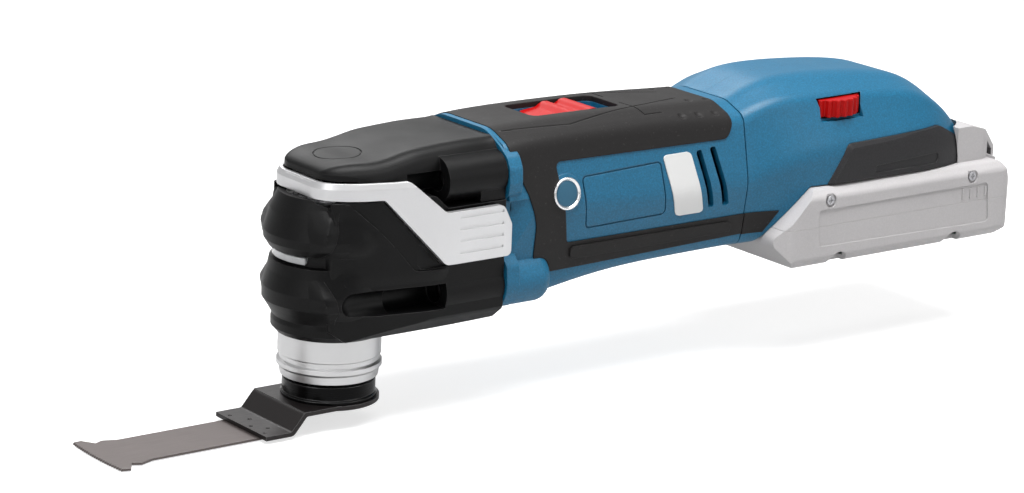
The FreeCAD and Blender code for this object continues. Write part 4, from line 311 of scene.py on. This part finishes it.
# %% A maker for metals
def metal(name, colour, roughness, lines, line_depth=0.004, solid=1.0, stain=0.12):
    """Metal whose marks run along the axis with the smallest number of lines for each millimetre."""
    sockets = {"Metallic": solid, "Specular IOR Level": 0.5}
    made, tree, surface, place = start_surface(name, sockets)
    normal, edge_wear_and_highlight = rounded_edges(tree, 0.3 * MM)
    marks = noise(tree, stretched(tree, place, tuple(count / MM for count in lines)), 1.0, 4.0, 0.65)
    clouds = noise(tree, place, 60.0, 4.0, 0.6)
    dull = tone(colour, 1.0 - stain)
    body = mixed(tree, clouds, dull, tone(colour, 1.0 + stain * 0.6))
    lined = mixed(tree, spread(tree, marks, 0.3, 0.7, 0.0, 0.35), body, dull)
    # Painted highlight and wear: the edges are painted brighter, partly as bare worn metal and partly as a
    # highlight along them.
    bright = mixed(tree, 0.5, tone(colour, 1.4), (0.6, 0.6, 0.6, 1.0))
    bare_and_lit_edges = mixed(tree, multiplied(tree, edge_wear_and_highlight, 0.4), lined, bright)
    fill(tree, surface.inputs["Base Color"], bare_and_lit_edges)
    gloss = spread(tree, marks, 0.25, 0.75, roughness - 0.06, roughness + 0.08)
    fill(tree, surface.inputs["Roughness"], gloss)
    fill(tree, surface.inputs["Normal"], dented(tree, marks, line_depth * MM, normal))
    return made


finishes.update({
    "lever_silver": metal("lever_silver", (0.66, 0.66, 0.67), 0.34, (1.8, 1.8, 1.8), 0.014, 0.80, 0.06),
    "case_aluminium": metal("case_aluminium", (0.60, 0.60, 0.605), 0.33, (0.05, 0.05, 9.0), 0.006, 0.9, 0.06),
    "blade_steel": metal("blade_steel", (0.112, 0.094, 0.090), 0.42, (0.08, 5.0, 5.0), 0.004, 0.7, 0.18),
    "carrier_steel": metal("carrier_steel", (0.017, 0.014, 0.014), 0.38, (0.2, 3.0, 3.0), 0.006, 0.5, 0.2),
    "black_steel": metal("black_steel", (0.0025, 0.0025, 0.0027), 0.24, (0.1, 0.1, 6.0), 0.004, 0.85, 0.2),
    "steel": metal("steel", (0.60, 0.60, 0.61), 0.28, (0.1, 0.1, 8.0)),
    "bearing_steel": metal("bearing_steel", (0.66, 0.66, 0.68), 0.16, (0.1, 0.1, 12.0), 0.002),
    "spring_steel": metal("spring_steel", (0.42, 0.42, 0.44), 0.3, (4.0, 4.0, 4.0), 0.003),
    "nickel": metal("nickel", (0.64, 0.61, 0.56), 0.24, (0.2, 6.0, 6.0), 0.002),
    "zinc_screw": metal("zinc_screw", (0.46, 0.46, 0.48), 0.3, (3.0, 3.0, 3.0), 0.004, 1.0, 0.2),
    "laminated_steel": metal("laminated_steel", (0.28, 0.28, 0.29), 0.45, (2.0, 0.05, 0.05), 0.05),
    "magnet": metal("magnet", (0.15, 0.15, 0.16), 0.4, (6.0, 6.0, 6.0), 0.01, 0.8),
    "copper": metal("copper", (0.60, 0.24, 0.10), 0.3, (2.5, 0.4, 2.5), 0.06),
})
print("finishes so far:", len(finishes))

# %% [markdown]
# ## Boards, sleeves and the lens
#
# The rest is small. A circuit board is glass cloth under lacquer; its height is one distorted wave.
# Cells and capacitors wear shrunk sleeves, which are smooth and wet looking. The lamp's lens is clear
# plastic with a milky core, so the light board behind it shows only as a soft patch.

# %% Boards, sleeves and lens
def sleeved(name, colour, roughness, wave):
    """A smooth lacquered or shrunk skin with a faint regular ripple, so many to the metre."""
    sockets = {"Coat Weight": 0.5, "Coat Roughness": 0.12}
    made, tree, surface, place = start_surface(name, sockets)
    normal, edge_wear_and_highlight = rounded_edges(tree, 0.3 * MM)
    ripple = add_node(tree, "ShaderNodeTexWave", {"Vector": place, "Scale": wave, "Distortion": 1.5})
    clouds = noise(tree, place, 90.0, 3.0, 0.6)
    body = mixed(tree, clouds, tone(colour, 0.85), tone(colour, 1.2))
    # Painted highlight and wear: the edges are painted much lighter, partly as rubbing and partly as a
    # highlight along them.
    edges_rubbed_and_lit = mixed(tree, multiplied(tree, edge_wear_and_highlight, 0.3), body, tone(colour, 2.0))
    fill(tree, surface.inputs["Base Color"], edges_rubbed_and_lit)
    gloss = spread(tree, clouds, 0.2, 0.8, roughness - 0.08, roughness + 0.08)
    fill(tree, surface.inputs["Roughness"], gloss)
    fill(tree, surface.inputs["Normal"], dented(tree, ripple.outputs[1], 0.01 * MM, normal))
    return made


def clear_plastic(name):
    """A milky clear lens with a faint moulded ripple."""
    sockets = {"Transmission Weight": 0.55, "IOR": 1.49, "Coat Weight": 0.6, "Coat Roughness": 0.05}
    made, tree, surface, place = start_surface(name, sockets)
    normal, edge_wear_and_highlight = rounded_edges(tree, 0.4 * MM)
    ripple = noise(tree, place, 420.0, 2.0)
    milk = mixed(tree, ripple, (0.78, 0.80, 0.82, 1.0), (0.92, 0.93, 0.94, 1.0))
    # Painted highlight and wear: the lens turns near white along its edges, partly as scuffing and partly as a
    # highlight along them.
    fill(tree, surface.inputs["Base Color"], mixed(tree, edge_wear_and_highlight, milk, (0.96, 0.96, 0.97, 1.0)))
    fill(tree, surface.inputs["Roughness"], spread(tree, ripple, 0.2, 0.8, 0.12, 0.24))
    fill(tree, surface.inputs["Normal"], dented(tree, ripple, 0.02 * MM, normal))
    return made


finishes.update({
    "board_green": sleeved("board_green", (0.020, 0.12, 0.06), 0.32, 900.0),
    "capacitor_black": sleeved("capacitor_black", (0.02, 0.02, 0.035), 0.25, 60.0),
    "cell_wrap": sleeved("cell_wrap", (0.07, 0.30, 0.23), 0.25, 40.0),
    "lens_clear": clear_plastic("lens_clear"),
})
print("all finishes:", ", ".join(sorted(finishes)))

# %% [markdown]
# ## Dress the frame
#
# Every part of the frame came in with a flat stand-in material that has the name of its slot in the
# record. Each slot is given the finish of that name, so no part can be forgotten. The blade's carrier is
# the one exception: its browned steel is paler than the other black steel, and has a finish of its own.

# %% Put the finishes on the parts
OWN_FINISH = {"blade_carrier": "carrier_steel"}
for name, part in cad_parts.items():
    for place in part.material_slots:
        key = place.material.name.split(".")[0]
        place.link = "OBJECT"
        place.material = finishes[OWN_FINISH.get(name, key)]
print("dressed", len(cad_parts), "parts")

# %% [markdown]
# ## Pieces that follow a surface
#
# The badge, the label plate and the head's shells are thin pieces on a gently curved wall. Instead of
# guessing the wall's place, a ray is sent at it: each point of the flat outline is moved sideways until it
# meets the part, so the piece lies on the wall wherever that is, and moves with it if the part changes.
# Where the wall has an opening, the ray is sent a little above or below it instead.

# %% Find the wall of a part
def wall_of(node):
    """A search tree of a part's faces, to send rays at."""
    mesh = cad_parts[node].data
    corners = [vertex.co for vertex in mesh.vertices]
    faces = [tuple(face.vertices) for face in mesh.polygons]
    return BVHTree.FromPolygons(corners, faces)


LEFT, RIGHT = -1.0, 1.0
SIDES = ((LEFT, "left"), (RIGHT, "right"))
OUTSIDE = 80.0
BRIDGE_STEP, BRIDGE_TRIES = 0.4, 24


def on_wall(wall, x, z, lift, side=LEFT):
    """The point of a side wall at this x and z, lifted off it; over an opening it uses the wall beside it."""
    for step in range(BRIDGE_TRIES):
        aside = (step + 1) // 2 * (BRIDGE_STEP if step % 2 else -BRIDGE_STEP)
        start = Vector((x * MM, side * OUTSIDE * MM, (z + aside) * MM))
        place = wall.ray_cast(start, Vector((0.0, -side, 0.0)))[0]
        if place is not None:
            break
    return Vector((x * MM, place.y + side * lift * MM, z * MM))


def lean_of(wall, x, z, reach):
    """The outward direction of the left wall, which leans in or out but runs straight along the tool."""
    rise = on_wall(wall, x, z + reach, 0.0) - on_wall(wall, x, z - reach, 0.0)
    return Vector((0.0, -rise.z, rise.y)).normalized()


housing_wall = wall_of("motor_housing")
print("the side panel lies at y =", round(on_wall(housing_wall, 105.0, 65.0, 0.0).y / MM, 2), "mm")

# %% [markdown]
# ## Label plate
#
# The plate is a printed aluminium label with a white face, and here it is bare. Its outline leans with
# the vents beside it. The rows of a grid narrow towards the ends, which rounds the corners, and every
# corner of the grid is laid on the wall, so the plate takes the wall's curve. A solidify modifier gives it
# its thickness, outwards from the wall.

# %% A thin plate laid on the wall
def link_mesh(name, corners, faces):
    """A new object from corners and faces, in the scene."""
    mesh = bpy.data.meshes.new(name)
    mesh.from_pydata(corners, [], faces)
    mesh.update()
    return link_object(name, mesh)


def bevelled(piece, width, segments):
    """Rounds the edges of a piece by a width in millimetres."""
    edge = piece.modifiers.new("edge", "BEVEL")
    edge.width = width * MM
    edge.segments = segments
    return edge


def row_places(length, radius, rows):
    """Heights and the narrowing at each height, for a plate whose corners have this radius."""
    places = []
    for i in range(rows + 1):
        along = length * i / rows
        inside = min(along, length - along)
        gap = min(max(radius - inside, 0.0), radius)
        places.append((along / length, radius - math.sqrt(radius * radius - gap * gap)))
    return places


ROWS, COLUMNS = 48, 22


def lay_plate(name, low, high, width, radius, lift, thickness, finish, body):
    """A leaning plate between two (x, z) middles of its short sides, laid on the housing's wall."""
    length = math.dist(low, high)
    corners = []
    for share, narrowing in row_places(length, radius, ROWS):
        middle = low[0] + (high[0] - low[0]) * share, low[1] + (high[1] - low[1]) * share
        half = width / 2 - narrowing
        for j in range(COLUMNS + 1):
            across = half * (2 * j / COLUMNS - 1)
            corners.append(on_wall(housing_wall, middle[0] + across, middle[1], lift))
    faces = []
    for i in range(ROWS):
        for j in range(COLUMNS):
            first = i * (COLUMNS + 1) + j
            faces.append((first, first + 1, first + COLUMNS + 2, first + COLUMNS + 1))
    made = link_mesh(name, corners, faces)
    skin = made.modifiers.new("thickness", "SOLIDIFY")
    skin.thickness = thickness * MM
    skin.offset = -1.0
    bevelled(made, 0.08, 2)
    made.data.materials.append(finish)
    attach(made, body)
    return made


LABEL_LOW, LABEL_HIGH = (139.2, 53.3), (132.9, 76.7)
LABEL_WIDTH, LABEL_RADIUS = 13.2, 1.8
LABEL_LIFT, LABEL_THICKNESS = 0.42, 0.45
label_face = moulded("label_face", (0.74, 0.74, 0.735), 0.33, grain=0.4, depth=0.003, edge_rub_and_highlight=0.1, speckle=0.03)
label = lay_plate("label_plate", LABEL_LOW, LABEL_HIGH, LABEL_WIDTH, LABEL_RADIUS, LABEL_LIFT,
                  LABEL_THICKNESS, label_face, "housing")
print("label plate:", len(label.data.polygons), "faces")

# %% [markdown]
# ## Shells and facets on the head
#
# The head's cover is moulded in layers. A shell stands less than a millimetre proud of the channel that
# the lever folds into, and each swelling of the nose ends at the side in a bevelled facet, like a shield.
# Both are patches: a flat outline is cut along a grid, every corner is laid on the wall and lifted by a
# rule, and a second layer inside the wall closes the solid. The part of the cover that the lever sweeps
# over stays as it is.

# %% A patch of any outline, laid on a side wall
def cut_outline(outline, spacing):
    """A flat mesh of an (x, z) outline, cut along a square grid, in millimetres."""
    flat = bmesh.new()
    flat.faces.new([flat.verts.new((x, 0.0, z)) for x, z in outline])
    for axis in (0, 2):
        low = min(vertex.co[axis] for vertex in flat.verts)
        high = max(vertex.co[axis] for vertex in flat.verts)
        for i in range(1, int((high - low) / spacing)):
            point, normal = Vector(), Vector()
            point[axis] = low + i * spacing
            normal[axis] = 1.0
            everything = flat.verts[:] + flat.edges[:] + flat.faces[:]
            bmesh.ops.bisect_plane(flat, geom=everything, dist=1e-4, plane_co=point, plane_no=normal)
    return flat


def lay_patch(name, outline, wall, lift, sink, finish, body, side, spacing=1.0):
    """A closed patch on a wall; lift is a rule of x and z, and sink is how far it goes into the wall."""
    patch = cut_outline(outline, spacing)
    outer = list(patch.faces)
    copy = bmesh.ops.duplicate(patch, geom=patch.verts[:] + patch.edges[:] + patch.faces[:])
    copied = dict(copy["vert_map"].items())
    inner = {vertex: copied[vertex] for face in outer for vertex in face.verts}
    rims = [edge for edge in patch.edges if len(edge.link_faces) == 1 and edge.verts[0] in inner]
    for vertex, below in inner.items():
        x, z = vertex.co.x, vertex.co.z
        vertex.co = on_wall(wall, x, z, lift(x, z), side)
        below.co = on_wall(wall, x, z, -sink, side)
    for edge in rims:
        first, second = edge.verts
        patch.faces.new((first, second, inner[second], inner[first]))
    bmesh.ops.recalc_face_normals(patch, faces=patch.faces)
    mesh = bpy.data.meshes.new(name)
    patch.to_mesh(mesh)
    patch.free()
    made = link_object(name, mesh)
    for face in mesh.polygons:
        face.use_smooth = True
    mesh.materials.append(finish)
    split = made.modifiers.new("edge", "EDGE_SPLIT")
    split.split_angle = math.radians(28)
    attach(made, body)
    return made


def between(x, low, high):
    """How far x is from low to high, from 0 to 1."""
    return min(max((x - low) / (high - low), 0.0), 1.0)


def along(table, value):
    """A value read from a table of (place, value) pairs, straight between them."""
    for (low, first), (high, second) in zip(table[:-1], table[1:]):
        if value <= high:
            return first + (second - first) * between(value, low, high)
    return table[-1][1]


# %% The shell beside the lever's channel
SHELL_OUTLINE = [
    (-7.2, 73.9), (2.8, 64.4), (9.3, 57.5), (16.0, 49.4), (17.2, 48.6), (18.6, 48.3), (31.0, 48.3),
    (31.0, 43.4), (-3.5, 43.2), (-8.0, 43.4), (-8.8, 46.2), (-9.8, 52.0), (-10.4, 58.0), (-10.0, 64.0),
    (-9.0, 70.0), (-8.4, 73.6),
]
SHELL_LIFT, SHELL_SUNK = 0.75, 0.12
head_wall = wall_of("head_body")


def shell_lift(x, z):
    """Flat, but sinking into the wall towards the nose and the trough."""
    rise = min(between(x, -9.5, -3.0), between(z, 43.8, 47.0), between(x, 31.0, 27.0))
    return SHELL_LIFT * rise - SHELL_SUNK * (1.0 - rise)


for side, which in SIDES:
    lay_patch("head_shell_" + which, SHELL_OUTLINE, head_wall, shell_lift, 0.4, finishes["black_plastic"],
              "housing", side, 1.6)
print("head shells:", len(SIDES))

# %% The facets at the ends of the nose's swellings
SHIELD_START, SHIELD_BLEND, SHIELD_SUNK, SHIELD_LEVELS = -19.8, 2.4, 0.5, 12
UPPER_SHIELD = {
    "ridge": [(54.6, -17.0), (57.5, -17.2), (64.0, -15.6), (71.4, -11.6)],
    "foot": [(54.6, -15.6), (57.5, -13.2), (64.0, -10.8), (71.4, -10.2)],
    "lift": [(54.6, -0.1), (57.0, 1.3), (61.0, 3.1), (64.2, 3.2), (71.4, -0.1)],
}
LOWER_SHIELD = {
    "ridge": [(31.0, -12.6), (35.0, -14.8), (40.0, -16.4), (47.0, -16.6)],
    "foot": [(31.0, -11.0), (35.0, -10.6), (40.0, -11.6), (47.0, -14.6)],
    "lift": [(31.0, -0.1), (34.4, 1.0), (38.4, 2.8), (41.2, 2.5), (47.0, -0.1)],
}


def shield_rule(shield):
    """The lift of a shield: up to its ridge, then down its facet."""
    def lift(x, z):
        """The lift at one place."""
        ridge, foot = along(shield["ridge"], z), along(shield["foot"], z)
        rising = between(x, SHIELD_START, ridge) ** 1.4
        falling = 1.0 - between(x, ridge, foot)
        sunk = SHIELD_SUNK * (1.0 - between(x, SHIELD_START, SHIELD_START + SHIELD_BLEND))
        return along(shield["lift"], z) * rising * falling - sunk
    return lift


def shield_outline(shield):
    """The outline of a shield, from its start to its foot."""
    low, high = shield["foot"][0][0], shield["foot"][-1][0]
    levels = [low + (high - low) * i / SHIELD_LEVELS for i in range(SHIELD_LEVELS + 1)]
    foot = [(along(shield["foot"], z), z) for z in levels]
    return foot + [(SHIELD_START, levels[-1]), (SHIELD_START, levels[0])]


for name, shield in (("upper_shield", UPPER_SHIELD), ("lower_shield", LOWER_SHIELD)):
    for side, which in SIDES:
        lay_patch(name + "_" + which, shield_outline(shield), head_wall, shield_rule(shield), 1.0,
                  finishes["black_plastic"], "housing", side, 0.4)
print("shields:", 2 * len(SIDES))

# %% [markdown]
# ## Badge
#
# The round badge is a pressed medallion: a bright ring round a shallow dished face. Anything pressed with
# a rolled rim can be made as a profile turned round its middle, so a short list of radii and heights says
# the whole shape. The face is bare.

# %% A medallion turned from a profile
def turn_outwards(mesh):
    """Makes every face of a closed mesh look outwards."""
    shell = bmesh.new()
    shell.from_mesh(mesh)
    bmesh.ops.recalc_face_normals(shell, faces=shell.faces)
    shell.to_mesh(mesh)
    shell.free()


def turned_piece(name, profile, middle, outward, steps, finish, body):
    """A closed piece turned round a direction from (radius, height outwards) pairs, in millimetres."""
    across = outward.cross(Vector((0.0, 0.0, 1.0))).normalized()
    upwards = across.cross(outward)
    corners = [middle + outward * profile[0][1] * MM]
    for radius, height in profile[1:]:
        for k in range(steps):
            angle = 2 * math.pi * k / steps
            flat = (across * math.cos(angle) + upwards * math.sin(angle)) * radius
            corners.append(middle + (flat + outward * height) * MM)
    faces = [(0, 1 + k, 1 + (k + 1) % steps) for k in range(steps)]
    for ring in range(len(profile) - 2):
        first = 1 + ring * steps
        for k in range(steps):
            after = (k + 1) % steps
            faces.append((first + k, first + steps + k, first + steps + after, first + after))
    last = 1 + (len(profile) - 2) * steps
    faces.append(tuple(last + k for k in reversed(range(steps))))
    made = link_mesh(name, corners, faces)
    turn_outwards(made.data)
    for face in made.data.polygons:
        face.use_smooth = len(face.vertices) < 5
    made.data.materials.append(finish)
    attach(made, body)
    return made


BADGE_MIDDLE, BADGE_LIFT = (81.1, 68.6), 0.15
CLEAR_OF_SLEEVE = 1.5
RING = [
    (0, 0.30), (4.8, 0.30), (4.95, 0.42), (5.1, 0.66), (5.3, 0.86), (5.55, 0.90), (5.8, 0.76), (5.95, 0.45),
    (5.95, -0.6),
]
FACE = [(0, 0.56), (2.4, 0.54), (3.8, 0.47), (4.7, 0.38), (4.86, 0.1), (4.86, -0.5)]
badge_outward = lean_of(housing_wall, BADGE_MIDDLE[0] + CLEAR_OF_SLEEVE, BADGE_MIDDLE[1], 5.0)
badge_place = on_wall(housing_wall, *BADGE_MIDDLE, BADGE_LIFT)
badge_silver = metal("badge_silver", (0.86, 0.86, 0.87), 0.22, (2.0, 2.0, 2.0), 0.002, 1.0, 0.05)
badge_ring = turned_piece("badge_ring", RING, badge_place, badge_outward, 64, badge_silver, "housing")
badge_blue = metal("badge_blue", (0.030, 0.115, 0.19), 0.34, (5.0, 5.0, 5.0), 0.001, 0.4, 0.08)
badge_face = turned_piece("badge_face", FACE, badge_place, badge_outward, 64, badge_blue, "housing")
print("badge at", [round(number / MM, 1) for number in badge_place], "mm")

# %% [markdown]
# ## Grip pads
#
# The lower band of the rubber sleeve carries a long low pad on each side, for the fingertips. It is a patch
# of the same kind as the head's shells, lifted evenly off the sleeve.

# %% The raised pads on the grip's lower band
PAD_OUTLINE = [
    (86.0, 48.1), (142.6, 48.1), (158.6, 47.8), (159.8, 47.0), (160.0, 44.9), (159.2, 43.9), (142.0, 43.5),
    (100.0, 43.3), (87.0, 43.2), (85.2, 44.2), (84.8, 47.0),
]
PAD_LIFT = 0.7


def pad_lift(x, z):
    """The same lift everywhere."""
    return PAD_LIFT


grip_wall = wall_of("grip_sleeve")
for side, which in SIDES:
    lay_patch("grip_pad_" + which, PAD_OUTLINE, grip_wall, pad_lift, 0.4, finishes["soft_grip"],
              "housing", side)
print("grip pads:", len(SIDES))

# %% [markdown]
# ## The pack's rear sill
#
# Under the hump at the pack's rear, a thin wall closes the case over the cells. Each piece is an outline in
# x and z, drawn across the pack: a wide sill, a sloping corner at each side, and a cheek that joins the two.

# %% Outlines drawn across the pack
def band(line, thickness):
    """The outline of a thin wall whose outer face follows (x, z) places, in millimetres."""
    return line + [(x - thickness, z - 0.35 * thickness) for x, z in line[::-1]]


def draw_across(name, outline, first_y, second_y, finish, body):
    """A closed piece with an (x, z) outline, drawn from one y to another, in millimetres."""
    ends = sorted((first_y, second_y))
    corners = [Vector((x, y, z)) * MM for y in ends for x, z in outline]
    count = len(outline)
    faces = [tuple(range(count)), tuple(range(2 * count - 1, count - 1, -1))]
    faces += [(k, k + count, (k + 1) % count + count, (k + 1) % count) for k in range(count)]
    made = link_mesh(name, corners, faces)
    turn_outwards(made.data)
    bevelled(made, 0.25, 2)
    made.data.materials.append(finish)
    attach(made, body)


SILL_REACH, CHEEK_REACH, CORNER_REACH = 26.3, 27.0, 29.7
CHEEK_OVERLAP, CORNER_OVERLAP = 0.4, 0.6
SILL_WALL, CORNER_WALL = 1.3, 1.2
SILL_LINE = [(293.2, 49.2), (295.2, 56.0)]
CORNER_LINE = [(292.7, 49.6), (290.2, 55.4), (287.4, 57.2), (285.6, 59.4), (284.6, 63.0)]
CHEEK = [
    (292.2, 48.8), (293.4, 49.4), (295.1, 56.2), (290.8, 58.0), (286.6, 59.4), (286.4, 57.0), (289.4, 54.6),
]
pieces = [("pack_rear_sill", band(SILL_LINE, SILL_WALL), -SILL_REACH, SILL_REACH)]
for side, which in SIDES:
    pieces.append(("pack_rear_corner_" + which, band(CORNER_LINE, CORNER_WALL),
                   side * (SILL_REACH - CORNER_OVERLAP), side * CORNER_REACH))
    pieces.append(("pack_rear_cheek_" + which, CHEEK, side * (SILL_REACH - CHEEK_OVERLAP), side * CHEEK_REACH))
for name, outline, first_y, second_y in pieces:
    draw_across(name, outline, first_y, second_y, finishes["grey_plastic"], "battery")
print("rear sill:", len(pieces), "pieces")

# %% [markdown]
# ## Speed wheel, by geometry nodes
#
# A thumb wheel is one rule repeated: a disc whose rim carries evenly spaced ribs. Geometry nodes suit
# that well, because the number of ribs and their depth stay named inputs. A circle of points is pushed
# in and out by a wave of its own angle, filled, and extruded to the wheel's thickness. The wheel takes its
# place and size from the part that it stands in for.

# %% A node tree that makes a ribbed wheel
def new_input(tree, name, value, kind="NodeSocketFloat"):
    """A named input of a node tree, with its default value."""
    made = tree.interface.new_socket(name=name, in_out="INPUT", socket_type=kind)
    made.default_value = value
    return made


def set_input(modifier, name, value):
    """Sets a modifier's input through the identifier that the name stands for."""
    for item in modifier.node_group.interface.items_tree:
        if item.name == name:
            modifier[item.identifier] = value


POINTS_PER_RIB = 12


def ribbed_wheel_tree(finish):
    """Geometry nodes for a wheel with ribs round its rim."""
    tree = bpy.data.node_groups.new("ribbed_wheel", "GeometryNodeTree")
    for name, value in (("Radius", 0.012), ("Height", 0.0076), ("Rib Depth", 0.0007)):
        new_input(tree, name, value)
    new_input(tree, "Ribs", 22, "NodeSocketInt")
    tree.interface.new_socket(name="Geometry", in_out="OUTPUT", socket_type="NodeSocketGeometry")
    given = add_node(tree, "NodeGroupInput").outputs
    count = math_node(tree, "MULTIPLY", given["Ribs"], POINTS_PER_RIB)
    circle = add_node(tree, "GeometryNodeMeshCircle", {"Vertices": count, "Radius": 1.0}, fill_type="NGON")
    index = add_node(tree, "GeometryNodeInputIndex").outputs[0]
    phase = math_node(tree, "MULTIPLY", index, 2 * math.pi / POINTS_PER_RIB)
    wave = math_node(tree, "COSINE", phase)
    crest = math_node(tree, "SMOOTH_MIN", math_node(tree, "MULTIPLY", wave, 1.6), 1.0)
    lower = math_node(tree, "MULTIPLY", math_node(tree, "SUBTRACT", 1.0, crest), 0.5)
    sunk = math_node(tree, "MULTIPLY", lower, given["Rib Depth"])
    reach = math_node(tree, "SUBTRACT", given["Radius"], sunk)
    spot = add_node(tree, "GeometryNodeInputPosition").outputs[0]
    moved = add_node(tree, "ShaderNodeVectorMath", {0: spot, "Scale": reach}, operation="SCALE").outputs[0]
    rim = add_node(tree, "GeometryNodeSetPosition", {"Geometry": circle.outputs[0], "Position": moved})
    tall = add_node(tree, "GeometryNodeExtrudeMesh", {"Mesh": rim.outputs[0], "Offset Scale": given["Height"]})
    lid = add_node(tree, "GeometryNodeFlipFaces", {"Mesh": rim.outputs[0]})
    both = add_node(tree, "GeometryNodeJoinGeometry")
    tree.links.new(tall.outputs[0], both.inputs[0])
    tree.links.new(lid.outputs[0], both.inputs[0])
    whole = add_node(tree, "GeometryNodeMergeByDistance", {"Geometry": both.outputs[0], "Distance": 1e-6})
    real = add_node(tree, "GeometryNodeRealizeInstances", {"Geometry": whole.outputs[0]})
    coloured = add_node(tree, "GeometryNodeSetMaterial", {"Geometry": real.outputs[0], "Material": finish})
    output = add_node(tree, "NodeGroupOutput")
    tree.links.new(coloured.outputs[0], output.inputs[0])
    return tree


def made_by_nodes(name, tree, inputs):
    """The plain mesh that a node tree makes with these inputs."""
    carrier = link_mesh(name + "_carrier", [], [])
    modifier = carrier.modifiers.new("nodes", "NODES")
    modifier.node_group = tree
    for key, value in inputs.items():
        set_input(modifier, key, value)
    depsgraph = bpy.context.evaluated_depsgraph_get()
    mesh = bpy.data.meshes.new_from_object(carrier.evaluated_get(depsgraph))
    mesh.name = name
    bpy.data.objects.remove(carrier)
    return link_object(name, mesh)


wheel_low, wheel_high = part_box("speed_wheel")
wheel_middle = (wheel_low + wheel_high) / 2
wheel_radius = (wheel_high.x - wheel_low.x) / 2
RIB_DEPTH, RIB_COUNT = 0.9, 24
wheel_tree = ribbed_wheel_tree(finishes["red_plastic"])
wheel = made_by_nodes("ribbed_speed_wheel", wheel_tree, {
    "Radius": wheel_radius,
    "Height": wheel_high.z - wheel_low.z,
    "Rib Depth": RIB_DEPTH * MM,
    "Ribs": RIB_COUNT,
})
for vertex in wheel.data.vertices:
    vertex.co += Vector((wheel_middle.x, wheel_middle.y, wheel_low.z))
softened = bevelled(wheel, 0.35, 3)
softened.limit_method = "ANGLE"
softened.angle_limit = math.radians(60)
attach(wheel, "wheel")
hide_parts("speed_wheel")
print("speed wheel:", len(wheel.data.polygons), "faces before its bevel")

# %% [markdown]
# ## The studio
#
# A pale floor, one large soft light from above, a softer one from each side and a pale room. The lights are
# weak enough that a colour comes out about as it is written. The background is white, with a faint shadow,
# because the floor adds its own light where the camera sees it, and some where it is mirrored in the tool.

# %% Floor
FLOOR_GAP, FLOOR_HALF = 0.5, 6.0
WHITE = (1.0, 1.0, 1.0, 1.0)
floor_z = frame_box[0][2] - FLOOR_GAP * MM
places = [(x * FLOOR_HALF, y * FLOOR_HALF, floor_z) for x, y in ((-1, -1), (1, -1), (1, 1), (-1, 1))]
floor = link_mesh("studio_floor", places, [(0, 1, 2, 3)])
FLOOR_SEEN, FLOOR_GLOW = 0.55, 0.68
FLOOR_BOUNCE, BOUNCE_GLOW = 0.50, 0.22
pale = bpy.data.materials.new("pale_floor")
pale.use_nodes = True
ground = pale.node_tree
ground.nodes.clear()
seen = add_node(ground, "ShaderNodeLightPath").outputs
bright = add_node(ground, "ShaderNodeBsdfDiffuse", {"Color": tone(WHITE, FLOOR_SEEN)}).outputs[0]
dull = add_node(ground, "ShaderNodeBsdfDiffuse", {"Color": tone(WHITE, FLOOR_BOUNCE)}).outputs[0]
matt = add_node(ground, "ShaderNodeMixShader", {0: seen["Is Camera Ray"], 1: dull, 2: bright}).outputs[0]
mirrored = math_node(ground, "MAXIMUM", seen["Is Glossy Ray"], seen["Is Transmission Ray"])
direct = multiplied(ground, seen["Is Camera Ray"], FLOOR_GLOW)
own_light = math_node(ground, "ADD", direct, multiplied(ground, mirrored, BOUNCE_GLOW))
glow = add_node(ground, "ShaderNodeEmission", {"Color": WHITE, "Strength": own_light}).outputs[0]
total = add_node(ground, "ShaderNodeAddShader", {0: matt, 1: glow}).outputs[0]
add_node(ground, "ShaderNodeOutputMaterial", {"Surface": total})
floor.data.materials.append(pale)
print("floor at z =", round(floor_z / MM, 2), "mm")

# %% Room and lamps
world = bpy.data.worlds.new("studio_room")
bpy.context.scene.world = world
world.use_nodes = True
world.node_tree.nodes.clear()
room = world.node_tree
ROOM_LIGHT, ROOM_MIRRORED, ROOM_SEEN = 0.32, 0.50, 1.0
ray = add_node(room, "ShaderNodeLightPath").outputs
mirrored = math_node(room, "MAXIMUM", ray["Is Glossy Ray"], ray["Is Transmission Ray"])
paler = multiplied(room, mirrored, ROOM_MIRRORED - ROOM_LIGHT)
behind = multiplied(room, ray["Is Camera Ray"], ROOM_SEEN - ROOM_LIGHT)
strength = math_node(room, "ADD", math_node(room, "ADD", paler, behind), ROOM_LIGHT)
air = add_node(room, "ShaderNodeBackground", {"Color": WHITE, "Strength": strength})
add_node(room, "ShaderNodeOutputWorld", {"Surface": air.outputs[0]})


def soft_lamp(name, azimuth, elevation, distance, width, height, power):
    """A rectangular lamp that faces the tool; angles are in degrees, lengths in metres, power in watts."""
    light = bpy.data.lights.new(name, "AREA")
    light.shape = "RECTANGLE"
    light.size = width
    light.size_y = height
    light.energy = power
    made = link_object(name, light)
    towards = direction_to(math.radians(azimuth), math.radians(elevation))
    made.location = centre + towards * distance
    made.rotation_euler = towards.to_track_quat("Z", "Y").to_euler()


soft_lamp("top_softbox", -10.0, 78.0, 0.9, 0.9, 0.55, 15.5)
soft_lamp("front_softbox", -75.0, 25.0, 1.2, 0.5, 0.7, 2.2)
soft_lamp("side_softbox", 30.0, 20.0, 1.3, 0.6, 0.6, 1.9)
soft_lamp("back_strip", 165.0, 35.0, 1.2, 0.8, 0.3, 4.0)

bpy.context.scene.view_settings.view_transform = "Standard"
